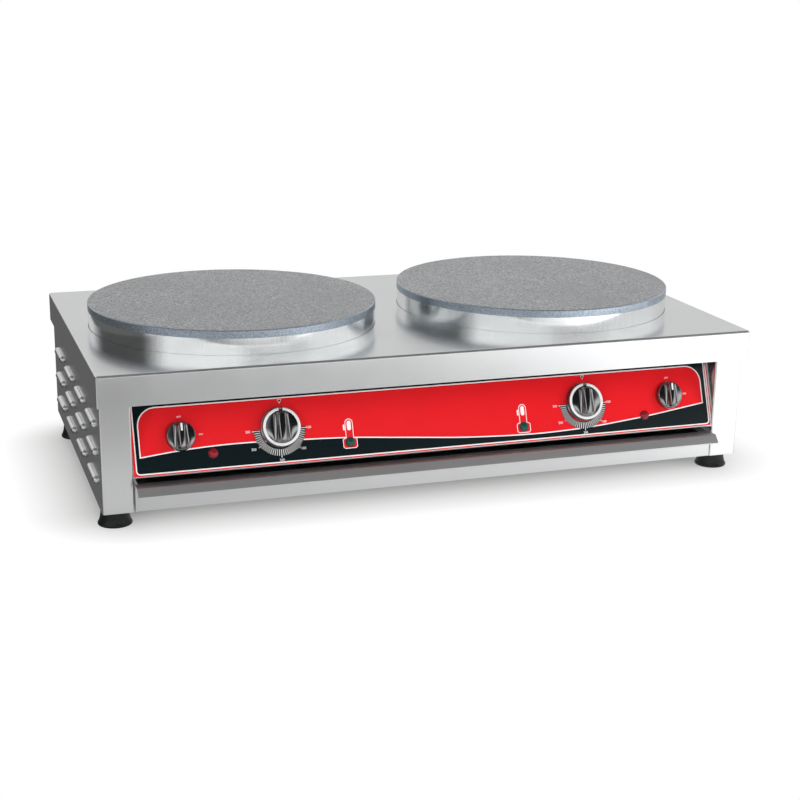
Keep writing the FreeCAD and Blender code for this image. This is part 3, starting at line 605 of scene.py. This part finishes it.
def red_outline():
    """The red field: round upper corners and a wavy lower edge, left to right."""
    wave = ((-398, 27.3), (-352, 31.8), (-296, 34.8), (-251, 34.8), (-187, 32.9), (-121, 30.0), (-54, 24.5),
            (62, 15.7), (177, 13.9), (283, 21.3), (398.5, 35.8))
    points = [(x * MM, v * MM, 0 < i < len(wave) - 1) for i, (x, v) in enumerate(wave)]
    corner, top = 22.0 * MM, 87.9 * MM
    for centre, start in ((398.5 * MM - corner, 0), (-398 * MM + corner, 90)):
        for step in range(7):
            angle = math.radians(start + 15 * step)
            points.append((centre + corner * math.cos(angle), top - corner + corner * math.sin(angle), False))
    return points


class CREPE_OT_print(Operator):
    """Adds the printed layers of the control panel: fields, outlines, scales, words and symbols"""
    bl_idname = "crepe.print"
    bl_label = "Add print"

    def execute(self, context):
        look = context.scene.crepe_print
        red = moulded("red ink", look.red, 0.14, 1400.0, 0.02, 0.02, contrast=0.03, specular=0.25)
        black = moulded("black ink", look.black, 0.14, 1400.0, 0.02, 0.02, contrast=0.1, specular=0.25)
        white = moulded("white ink", look.white, 0.30, 1400.0, 0.02, 0.02, contrast=0.03, specular=0.25)
        dress(red, "panel_film")
        low = FILM_TOP - 0.02 * MM
        heights = [FILM_TOP + look.layer * (i + 1) for i in range(7)]
        ground = rounded_box(-403.9 * MM, 405.5 * MM, 6.0 * MM, 95.2 * MM, 4.0 * MM)
        layers = [
            flat_shape("print_ground_line", ground, low, heights[0], look.line),
            flat_shape("print_ground", ground, low, heights[1]),
            flat_shape("print_field_line", red_outline(), low, heights[2], look.line),
            flat_shape("print_field", red_outline(), low, heights[3]),
        ]
        inks = (white, black, white, red)
        cutters = self.cutters()
        for piece, ink in zip(layers, inks):
            apply_modifier(piece, "BOOLEAN", operation="DIFFERENCE", object=cutters, solver="EXACT")
            paint(settle(piece, on_panel(0, 0)), ink)
            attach(piece, "root")
        bpy.data.objects.remove(cutters)
        for side, sign in SIDES:
            self.scale(side, sign, look, white, black, low, heights)
            self.words(side, sign, look.word_size, white, low, heights)
            self.symbol(side, sign, white, red, low, heights)
        return {"FINISHED"}

    def cutters(self):
        """Plugs for the holes of the spindles and lamps."""
        plugs = []
        for _, sign in SIDES:
            for x, v, radius in ((THERMOSTAT_X, THERMOSTAT_V, 4.2), (SWITCH_X, SWITCH_V, 4.2),
                                 (GREEN_LAMP_X, GREEN_LAMP_V, 5.2), (RED_LAMP_X, RED_LAMP_V, 5.2)):
                deselect()
                bpy.ops.mesh.primitive_cylinder_add(vertices=48, radius=radius * MM, depth=4 * MM,
                                                    location=(sign * x, v, 0))
                plugs.append(bpy.context.object)
        return settle(joined(plugs, "plugs"))

    def scale(self, side, sign, look, white, black, low, heights):
        """The fan of ticks round a thermostat knob with its numbers and its mark at the top."""
        fan = []
        centre = on_panel(sign * THERMOSTAT_X - look.fan_shift, THERMOSTAT_V - look.fan_drop)
        ring = turned("fan_ground", [(look.fan_inner - 1.2 * MM, low), (look.fan_outer + 0.4 * MM, low),
                                     (look.fan_outer + 0.4 * MM, heights[4]),
                                     (look.fan_inner - 1.2 * MM, heights[4]),
                                     (look.fan_inner - 1.2 * MM, low)], 120)
        begin_edit(ring, lambda face: face.calc_center_median().y > 1.5 * MM)
        bpy.ops.mesh.delete(type="FACE")
        bpy.ops.mesh.select_mode(type="EDGE")
        bpy.ops.mesh.select_non_manifold()
        bpy.ops.mesh.edge_face_add()
        end_edit()
        ring = named("print_fan_ground_" + side)
        paint(settle(ring, centre), black)
        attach(ring, "root")
        middle = (look.fan_inner + look.fan_outer) / 2
        for tick in range(look.ticks):
            angle = math.radians(-180 * tick / (look.ticks - 1))
            deselect()
            bpy.ops.mesh.primitive_cube_add(
                size=1, location=(middle * math.cos(angle), middle * math.sin(angle), (low + heights[5]) / 2),
                rotation=(0, 0, angle), scale=(look.fan_outer - look.fan_inner, look.tick_width, heights[5] - low))
            fan.append(bpy.context.object)
        places = ((0, 100, 39.0, 0), (-45, 150, 42.0, 1), (-90, 200, 42.5, 1), (-144, 250, 44.6, 1),
                  (-180, 300, 42.2, 0))
        for angle, number, reach, lifted in places:
            turn = math.radians(angle)
            fan.append(self.lettering(str(number), reach * MM * math.cos(turn),
                                      reach * MM * math.sin(turn) + lifted * look.fan_drop,
                                      look.number_size, low, heights[5]))
            deselect()
            bpy.ops.mesh.primitive_cube_add(
                size=1, rotation=(0, 0, turn), scale=(2.4 * MM, 0.8 * MM, heights[5] - low),
                location=((look.fan_outer + 1.2 * MM) * math.cos(turn),
                          (look.fan_outer + 1.2 * MM) * math.sin(turn), (low + heights[5]) / 2))
            fan.append(bpy.context.object)
        beside = look.fan_shift + 1.7 * MM
        fan.append(self.arrow(2.8 * MM, beside, 33.5 * MM + look.fan_drop, low, heights[5]))
        scale = joined(fan, "print_scale_" + side)
        paint(settle(scale, centre), white)
        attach(scale, "root")
        self.arrow(2.0 * MM, beside, 33.7 * MM + look.fan_drop, low, heights[6])
        mark = named("print_mark_" + side)
        paint(settle(mark, centre), black)
        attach(mark, "root")

    def arrow(self, size, x, height, low, high):
        """A triangle that points down."""
        return flat_shape("arrow", [(x - size, height + size, False), (x + size, height + size, False),
                                    (x, height - size, False)], low, high)

    def lettering(self, text, x, y, size, low, high):
        deselect()
        bpy.ops.object.text_add(location=(x, y, (low + high) / 2))
        piece = bpy.context.object
        piece.data.body = text
        piece.data.size = size
        piece.data.align_x = "CENTER"
        piece.data.align_y = "CENTER"
        piece.data.extrude = (high - low) / 2
        piece.data.resolution_u = 3
        bpy.ops.object.convert(target="MESH")
        return bpy.context.object

    def words(self, side, sign, size, white, low, heights):
        """OFF over a switch knob and ON at its right."""
        words = [self.lettering("OFF", 0, 24.2 * MM, size, low, heights[5]),
                 self.lettering("ON", 26.3 * MM, 0, size, low, heights[5])]
        piece = joined(words, "print_words_" + side)
        paint(settle(piece, on_panel(sign * SWITCH_X, SWITCH_V)), white)
        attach(piece, "root")

    def symbol(self, side, sign, white, red, low, heights):
        """A thermometer drawn round the green lamp."""
        line = 0.9 * MM
        tube, shoulder, foot, top = 4.6 * MM, 5.0 * MM, -7.4 * MM, 30.0 * MM
        half = 9.0 * MM
        dome = [(tube * math.cos(math.radians(a)), top - tube + tube * math.sin(math.radians(a)), False)
                for a in range(0, 181, 20)]
        body = [(-half + 2 * MM, foot, False), (half - 2 * MM, foot, False), (half, foot + 2 * MM, False),
                (half, shoulder - 1.5 * MM, False), (half - 2.5 * MM, shoulder, False), (tube, shoulder, False)]
        body += dome
        body += [(-tube, shoulder, False), (-half + 2.5 * MM, shoulder, False),
                 (-half, shoulder - 1.5 * MM, False), (-half, foot + 2 * MM, False)]
        outline = flat_shape("outline", body, low, heights[4], line)
        tick = flat_shape("tick", rounded_box(-tube - 3.6 * MM, -tube - 1.4 * MM, 16 * MM, 23.5 * MM, 0.8 * MM),
                          low, heights[4])
        tip = flat_shape("tip", rounded_box(-2.7 * MM, 2.7 * MM, 15.5 * MM, 28.2 * MM, 2.6 * MM), low, heights[6])
        inner = flat_shape("inner", body, low, heights[5])
        plug_place = (0, 0, 0)
        for piece in (outline, inner):
            deselect()
            bpy.ops.mesh.primitive_cylinder_add(vertices=48, radius=5.2 * MM, depth=4 * MM, location=plug_place)
            plug = bpy.context.object
            apply_modifier(piece, "BOOLEAN", operation="DIFFERENCE", object=plug, solver="EXACT")
            bpy.data.objects.remove(plug)
        piece = joined([outline, tick, tip], "print_symbol_line_" + side)
        paint(settle(piece, on_panel(sign * GREEN_LAMP_X, GREEN_LAMP_V)), white)
        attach(piece, "root")
        choose(inner)
        piece = named("print_symbol_" + side)
        paint(settle(piece, on_panel(sign * GREEN_LAMP_X, GREEN_LAMP_V)), red)
        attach(piece, "root")


def grip_bar(length, width, face, height, flank):
    """A raised bar with round ends and hollow flanks, narrower at its top, that starts under the face."""
    sunk, shrink = 1.0 * MM, 0.9 * MM
    deselect()
    bpy.ops.mesh.primitive_circle_add(vertices=48, radius=width / 2, fill_type="NGON",
                                      location=(0, 0, face - sunk))
    bar = settle(named("bar"))
    for sign in (-1, 1):
        begin_edit(bar, lambda vertex: vertex.co.y * sign > 0.01 * MM, "VERT")
        bpy.ops.transform.translate(value=(0, sign * (length - width) / 2, 0))
        end_edit()
    steps = [(0.0, width / 2 + flank), (sunk, width / 2 + flank)]
    for step in range(1, 6):
        angle = math.radians(18 * step)
        steps.append((sunk + flank * (1 - math.cos(angle)), width / 2 + flank * (1 - math.sin(angle))))
    steps.append((sunk + height, width / 2 - shrink))
    begin_edit(bar, lambda item: True)
    bpy.ops.transform.resize(value=(1 + 2 * flank / width, 1, 1), center_override=(0, 0, 0))
    for (z_last, half_last), (z, half) in zip(steps, steps[1:]):
        bpy.ops.mesh.extrude_region_move(TRANSFORM_OT_translate={"value": (0, 0, z - z_last)})
        lengthwise = 1 - 2 * shrink / length if z == steps[-1][0] else 1
        bpy.ops.transform.resize(value=(half / half_last, lengthwise, 1), center_override=(0, 0, 0))
    bpy.ops.mesh.bevel(offset=1.2 * MM, segments=3, affect="EDGES")
    bpy.ops.mesh.select_all(action="SELECT")
    bpy.ops.mesh.normals_make_consistent(inside=False)
    end_edit()
    return bar


def knob_body(name, profile, bar):
    knob = soften(turned(name, profile, 120), 0.35 * MM)
    apply_modifier(knob, "BOOLEAN", operation="UNION", object=bar, solver="EXACT")
    bpy.data.objects.remove(bar)
    return smooth(knob, 30)


class CREPE_OT_thermostat_knobs(Operator):
    """Adds the thermostat knobs with their bright rings"""
    bl_idname = "crepe.thermostat_knobs"
    bl_label = "Add thermostat knobs"

    def execute(self, context):
        size = context.scene.crepe_knobs
        plastic = moulded("black thermoset", (0.005, 0.006, 0.007, 1), 0.09, 500.0, 0.02, 0.01, coat=1.0,
                          ior=2.0)
        chrome = steel("bright ring", (0.92, 0.92, 0.92, 1), (500.0, 500.0, 500.0), 0.42, 0.04, 0.02)
        chrome.node_tree.nodes["Principled BSDF"].inputs["Metallic"].default_value = 0.4
        high = KNOB_FOOT + size.knob_height
        bore = KNOB_FOOT + 8.0 * MM
        inner = 3.03 * MM
        groove = 0.8 * MM
        profile = [(0, bore), (inner, bore), (inner, KNOB_FOOT), (size.skirt_radius, KNOB_FOOT),
                   (size.skirt_radius, KNOB_FOOT + 3 * MM), (size.skirt_radius - 1.3 * MM, KNOB_FOOT + 3 * MM),
                   (size.ring_outer + 0.3 * MM, high), (size.ring_outer, high), (size.ring_outer, high - groove),
                   (size.ring_inner, high - groove), (size.ring_inner, high), (0, high)]
        for side, sign in SIDES:
            bar = grip_bar(40 * MM, 10.5 * MM, high, size.grip_height, 6.0 * MM)
            knob = knob_body("thermostat_knob_body_" + side, profile, bar)
            paint(settle(knob, on_panel(sign * THERMOSTAT_X, THERMOSTAT_V)), plastic)
            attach(knob, "thermostat_dial_" + side)
            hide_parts("thermostat_knob_" + side)
            ring = self.ring(side, size, high, groove)
            paint(settle(ring, on_panel(sign * THERMOSTAT_X, THERMOSTAT_V)), chrome)
            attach(ring, "thermostat_dial_" + side)
            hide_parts("knob_ring_" + side)
        return {"FINISHED"}

    def ring(self, side, size, high, groove):
        """A bright ring, domed a little and open at the top where the knob points."""
        wide = size.ring_outer - size.ring_inner
        low, top = high - groove, high + 0.25 * MM
        profile = [(size.ring_inner, low), (size.ring_outer, low), (size.ring_outer, top - 0.3 * MM),
                   (size.ring_outer - wide * 0.2, top), (size.ring_inner + wide * 0.2, top),
                   (size.ring_inner, top - 0.3 * MM), (size.ring_inner, low)]
        ring = turned("bright_ring_" + side, profile, 180)
        half = 7

        def in_notch(face):
            centre = face.calc_center_median()
            return abs(math.degrees(math.atan2(centre.x, centre.y))) < half

        begin_edit(ring, in_notch)
        bpy.ops.mesh.delete(type="FACE")
        bpy.ops.mesh.select_mode(type="EDGE")
        bpy.ops.mesh.select_non_manifold()
        bpy.ops.mesh.edge_face_add()
        end_edit()
        return smooth(ring, 30)


class CREPE_OT_switch_knobs(Operator):
    """Adds the switch knobs with their white marks"""
    bl_idname = "crepe.switch_knobs"
    bl_label = "Add switch knobs"

    def execute(self, context):
        size = context.scene.crepe_knobs
        plastic = bpy.data.materials["black thermoset"]
        white = moulded("white inlay", (0.95, 0.95, 0.95, 1), 0.3)
        high = KNOB_FOOT + size.switch_height
        bore = KNOB_FOOT + 8.0 * MM
        inner = 3.03 * MM
        profile = [(0, bore - 0.5 * MM), (inner, bore - 0.5 * MM), (inner, KNOB_FOOT),
                   (size.switch_radius, KNOB_FOOT), (size.switch_radius, KNOB_FOOT + 2 * MM),
                   (size.switch_radius - 1.1 * MM, high - 1 * MM), (size.switch_radius - 2.1 * MM, high),
                   (0, high)]
        for side, sign in SIDES:
            bar = grip_bar(34 * MM, 9.5 * MM, high, size.grip_height, 5.2 * MM)
            knob = knob_body("switch_knob_body_" + side, profile, bar)
            paint(settle(knob, on_panel(sign * SWITCH_X, SWITCH_V)), plastic)
            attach(knob, "switch_dial_" + side)
            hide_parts("switch_knob_" + side)
            top = high + size.grip_height
            mark = flat_shape("switch_mark_" + side,
                              rounded_box(-1.2 * MM, 1.2 * MM, 6.0 * MM, 15.5 * MM, 0.5 * MM),
                              top - 0.3 * MM, top + 0.08 * MM)
            paint(settle(mark, on_panel(sign * SWITCH_X, SWITCH_V)), white)
            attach(mark, "switch_dial_" + side)
            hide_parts("switch_pointer_" + side)
        return {"FINISHED"}


class CREPE_OT_lamps(Operator):
    """Adds the pilot lamps' lenses"""
    bl_idname = "crepe.lamps"
    bl_label = "Add lamps"

    def execute(self, context):
        lenses = (("green", GREEN_LAMP_X, GREEN_LAMP_V, (0.002, 0.062, 0.048, 1)),
                  ("red", RED_LAMP_X, RED_LAMP_V, (0.24, 0.003, 0.012, 1)))
        foot = FILM_TOP
        profile = [(0, foot), (6.6, foot), (6.6, foot + 1.0), (6.2, foot + 1.3), (5.7, foot + 1.3),
                   (5.6, foot + 1.6), (5.2, foot + 2.7), (4.2, foot + 3.4), (2.6, foot + 3.8), (0, foot + 3.9)]
        profile = [(r * MM, foot + (z - foot) * MM) for r, z in profile]
        for colour, x, v, tint in lenses:
            material = lamp_lens(colour + " lens", tint)
            for side, sign in SIDES:
                lens = turned("lens_" + colour + "_cap_" + side, profile, 64)
                smooth(settle(lens, on_panel(sign * x, v)), 25)
                paint(lens, material)
                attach(lens, "root")
                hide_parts("lens_" + colour + "_" + side)
        return {"FINISHED"}


class CREPE_OT_feet(Operator):
    """Adds the rubber feet"""
    bl_idname = "crepe.feet"
    bl_label = "Add feet"

    def execute(self, context):
        rubber = moulded("black rubber", (0.006, 0.008, 0.008, 1), 0.38, 700.0, 0.1, 0.25, specular=0.35)
        for side, _ in SIDES:
            for place in ("front", "rear"):
                node = "foot_" + place + "_" + side
                low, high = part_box(node)
                radius, height = (high.x - low.x) / 2, high.z - low.z
                profile = [(5.9 * MM, 0), (radius - 1.6 * MM, 0), (radius - 0.5 * MM, 0.4 * MM),
                           (radius, 1.4 * MM), (radius, 2.6 * MM), (radius - 0.7 * MM, 3.8 * MM),
                           (radius - 2.0 * MM, 6.5 * MM), (radius - 3.0 * MM, 10 * MM),
                           (radius - 3.9 * MM, 15 * MM), (radius - 4.6 * MM, height - 1.2 * MM),
                           (radius - 4.9 * MM, height), (2.7 * MM, height), (2.7 * MM, 12 * MM),
                           (5.9 * MM, 12 * MM), (5.9 * MM, 0)]
                foot = turned("rubber_" + node, profile, 72)
                centre = (low + high) / 2
                smooth(settle(foot, Matrix.Translation((centre.x, centre.y, 0))), 30)
                paint(foot, rubber)
                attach(foot, "root")
                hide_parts(node)
        return {"FINISHED"}


def softbox(name, place, aim, width, height, power):
    """A wide lamp that lights the pieces and isn't mirrored in the metal."""
    deselect()
    bpy.ops.object.light_add(type="AREA", location=place)
    lamp = bpy.context.object
    lamp.name = name
    lamp.data.shape = "RECTANGLE"
    lamp.data.size = width
    lamp.data.size_y = height
    lamp.data.energy = power
    lamp.visible_glossy = False
    lamp.rotation_euler = (Vector(aim) - Vector(place)).to_track_quat("-Z", "Y").to_euler()


class CREPE_OT_stage(Operator):
    """Adds the floor, the lights, the even sky and the camera"""
    bl_idname = "crepe.stage"
    bl_label = "Set the stage"

    def execute(self, context):
        look = context.scene.crepe_studio
        self.floor()
        self.sky(context.scene, look)
        middle = (0, 0, 0.12)
        softbox("top_light", (0.1, 0.55, 1.7), middle, 1.8, 1.1, look.top_power)
        softbox("front_light", (0.1, -2.2, 0.6), middle, 1.6, 0.6, look.front_power)
        softbox("key_light", (1.9, -1.3, 1.1), middle, 0.5, 1.4, look.key_power)
        softbox("fill_light", (-1.9, -1.5, 0.9), middle, 0.4, 1.2, look.fill_power)
        self.camera(context.scene, look)
        context.scene.view_settings.view_transform = "Standard"
        return {"FINISHED"}

    def floor(self):
        deselect()
        bpy.ops.mesh.primitive_circle_add(vertices=128, radius=9.0, fill_type="NGON", location=(0, 0, -0.2 * MM))
        floor = settle(named("floor"))
        material = bpy.data.materials.new("pale floor")
        material.use_nodes = True
        tree = material.node_tree
        shader = tree.nodes["Principled BSDF"]
        shader.inputs["Roughness"].default_value = 0.9
        shader.inputs["Specular IOR Level"].default_value = 0.1
        path = tree.nodes.new("ShaderNodeLightPath")
        seen = path.outputs["Is Camera Ray"]
        # The floor is darker to the camera than to other rays: a painted darkening that deepens the real shadow
        # under the object
        shadow_deepening_colour = blended(tree, seen, (0.78, 0.78, 0.78, 1), (0.56, 0.55, 0.54, 1))
        tree.links.new(shadow_deepening_colour, shader.inputs["Base Color"])
        place = tree.nodes.new("ShaderNodeTexCoord").outputs["Object"]
        # Beyond a box round the footprint the floor glows white to the camera, so the shadow is real but where it
        # fades out is painted
        beside = stepped(tree, stepped(tree, place, "ABSOLUTE"), "SUBTRACT", (0.40, 0.15, 0))
        away = stepped(tree, stepped(tree, beside, "MAXIMUM"), "LENGTH")
        far = ranged(tree, away, 0.0, 1.0, 0.0, 0.14)
        white = self.glow(tree, shader.outputs["BSDF"], summed(tree, far, seen, "MULTIPLY"), 1.0)
        # To glossy rays the floor glows in zones, brighter in front and at the right, dimmer behind and at the left,
        # as light that the metal mirrors
        side = dotted(tree, place, (1, 0, 0))
        depth = dotted(tree, place, (0, 1, 0))
        across = summed(tree, ranged(tree, side, 0.46, 0.80, -0.35, 0.25), ranged(tree, side, 0.0, 1.1, 0.25, 0.75))
        near = ranged(tree, depth, 0.0, 0.32, -0.75, -0.45)
        strip = ranged(tree, depth, -0.35, 0.0, -1.03, -0.84)
        beyond = ranged(tree, depth, 0.95, 0.0, -1.14, -1.04)
        ahead = summed(tree, summed(tree, across, near), summed(tree, strip, beyond))
        behind = ranged(tree, side, 0.13, 0.60, -0.46, -0.36)
        mirror = mixed(tree, ranged(tree, depth, 0.0, 1.0, -0.32, -0.20), ahead, behind)
        surface = self.glow(tree, white, path.outputs["Is Glossy Ray"], mirror)
        tree.links.new(surface, tree.nodes["Material Output"].inputs["Surface"])
        floor.data.materials.append(material)

    def glow(self, tree, shader, mask, strength):
        """Lays plain light over a shader by a mask."""
        light = tree.nodes.new("ShaderNodeEmission")
        if isinstance(strength, float):
            light.inputs["Strength"].default_value = strength
        else:
            tree.links.new(strength, light.inputs["Strength"])
        layer = tree.nodes.new("ShaderNodeMixShader")
        tree.links.new(mask, layer.inputs["Fac"])
        tree.links.new(shader, layer.inputs[1])
        tree.links.new(light.outputs["Emission"], layer.inputs[2])
        return layer.outputs["Shader"]

    def sky(self, scene, look):
        """Even light, white to the camera, with bright and dark sides for what metal mirrors."""
        world = bpy.data.worlds.new("studio")
        scene.world = world
        world.use_nodes = True
        tree = world.node_tree
        back = tree.nodes["Background"]
        direction = tree.nodes.new("ShaderNodeTexCoord").outputs["Generated"]
        height = dotted(tree, direction, (0, 0, 1))
        front = dotted(tree, direction, (-0.323, -0.946, 0))
        ahead = ranged(tree, front, 0.0, 1.0, -0.90, -0.45)
        band = summed(tree, ranged(tree, height, 0.10, 1.0, 0.19, 0.25), ranged(tree, height, 1.0, 0.30, 0.33, 0.38),
                      "MULTIPLY")
        level = mixed(tree, ahead, look.mirror_back, summed(tree, band, look.mirror_front, "MULTIPLY"))
        facing = ranged(tree, dotted(tree, direction, (0.33, -0.87, 0.37)), 0.0, 0.97, 0.88, 0.95)
        patch = summed(tree, facing, ranged(tree, height, 0.0, 1.0, 0.30, 0.34), "MULTIPLY")
        left = ranged(tree, dotted(tree, direction, (-0.92, 0.39, 0)), 0.0, 0.96, 0.66, 0.86)
        shade = summed(tree, left, ranged(tree, height, 1.0, 0.0, 0.34, 0.42), "MULTIPLY")
        mirror = summed(tree, level, ranged(tree, patch, 1.0, 0.0), "MULTIPLY")
        mirror = summed(tree, mirror, ranged(tree, shade, 1.0, 0.0), "MULTIPLY")
        mirror = summed(tree, mirror, ranged(tree, height, 1.0, 0.4, 0.66, 0.82), "MULTIPLY")
        path = tree.nodes.new("ShaderNodeLightPath")
        for_metal = mixed(tree, path.outputs["Is Glossy Ray"], look.sky, mirror)
        for_view = mixed(tree, path.outputs["Is Camera Ray"], for_metal, 1.0)
        back.inputs["Color"].default_value = (1, 1, 1, 1)
        tree.links.new(for_view, back.inputs["Strength"])

    def camera(self, scene, look):
        deselect()
        bpy.ops.object.camera_add()
        camera = bpy.context.object
        camera.name = "view"
        camera.data.sensor_width = 36.0
        camera.data.lens = look.lens
        camera.data.clip_start = 0.05
        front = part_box("top_cover")[0].y
        right = Vector((0.94752, -0.31939, 0.01418))
        down = Vector((-0.07596, -0.26796, -0.96043))
        turn = Matrix((right, -down, right.cross(-down))).transposed().to_4x4()
        camera.matrix_world = Matrix.Translation((-0.682336, front - 1.814974, 0.702282)) @ turn
        scene.camera = camera


class CREPE_PT_panel(Panel):
    """Sizes, colours and pieces of the crepe maker's looks"""
    bl_idname = "CREPE_PT_panel"
    bl_label = "Crepe maker"
    bl_space_type = "VIEW_3D"
    bl_region_type = "UI"
    bl_category = "Crepe maker"

    def draw(self, context):
        layout = self.layout
        for group in (context.scene.crepe_steel, context.scene.crepe_print, context.scene.crepe_knobs,
                      context.scene.crepe_studio):
            box = layout.box()
            for key in group.__annotations__:
                box.prop(group, key)
        for operator in OPERATORS:
            layout.operator(operator.bl_idname)


OPERATORS = (CREPE_OT_body, CREPE_OT_inside, CREPE_OT_print, CREPE_OT_thermostat_knobs, CREPE_OT_switch_knobs,
             CREPE_OT_lamps, CREPE_OT_feet, CREPE_OT_stage)
SETTINGS = (("crepe_steel", SteelLook), ("crepe_print", PrintLook), ("crepe_knobs", KnobSizes),
            ("crepe_studio", StudioLook))


def register():
    for _, group in SETTINGS:
        bpy.utils.register_class(group)
    for name, group in SETTINGS:
        setattr(bpy.types.Scene, name, PointerProperty(type=group))
    for operator in OPERATORS:
        bpy.utils.register_class(operator)
    bpy.utils.register_class(CREPE_PT_panel)


def unregister():
    bpy.utils.unregister_class(CREPE_PT_panel)
    for operator in reversed(OPERATORS):
        bpy.utils.unregister_class(operator)
    for name, group in SETTINGS:
        delattr(bpy.types.Scene, name)
        bpy.utils.unregister_class(group)


def main():
    register()
    for operator in OPERATORS:
        group, name = operator.bl_idname.split(".")
        getattr(getattr(bpy.ops, group), name)()


if __name__ == "__main__":
    main()
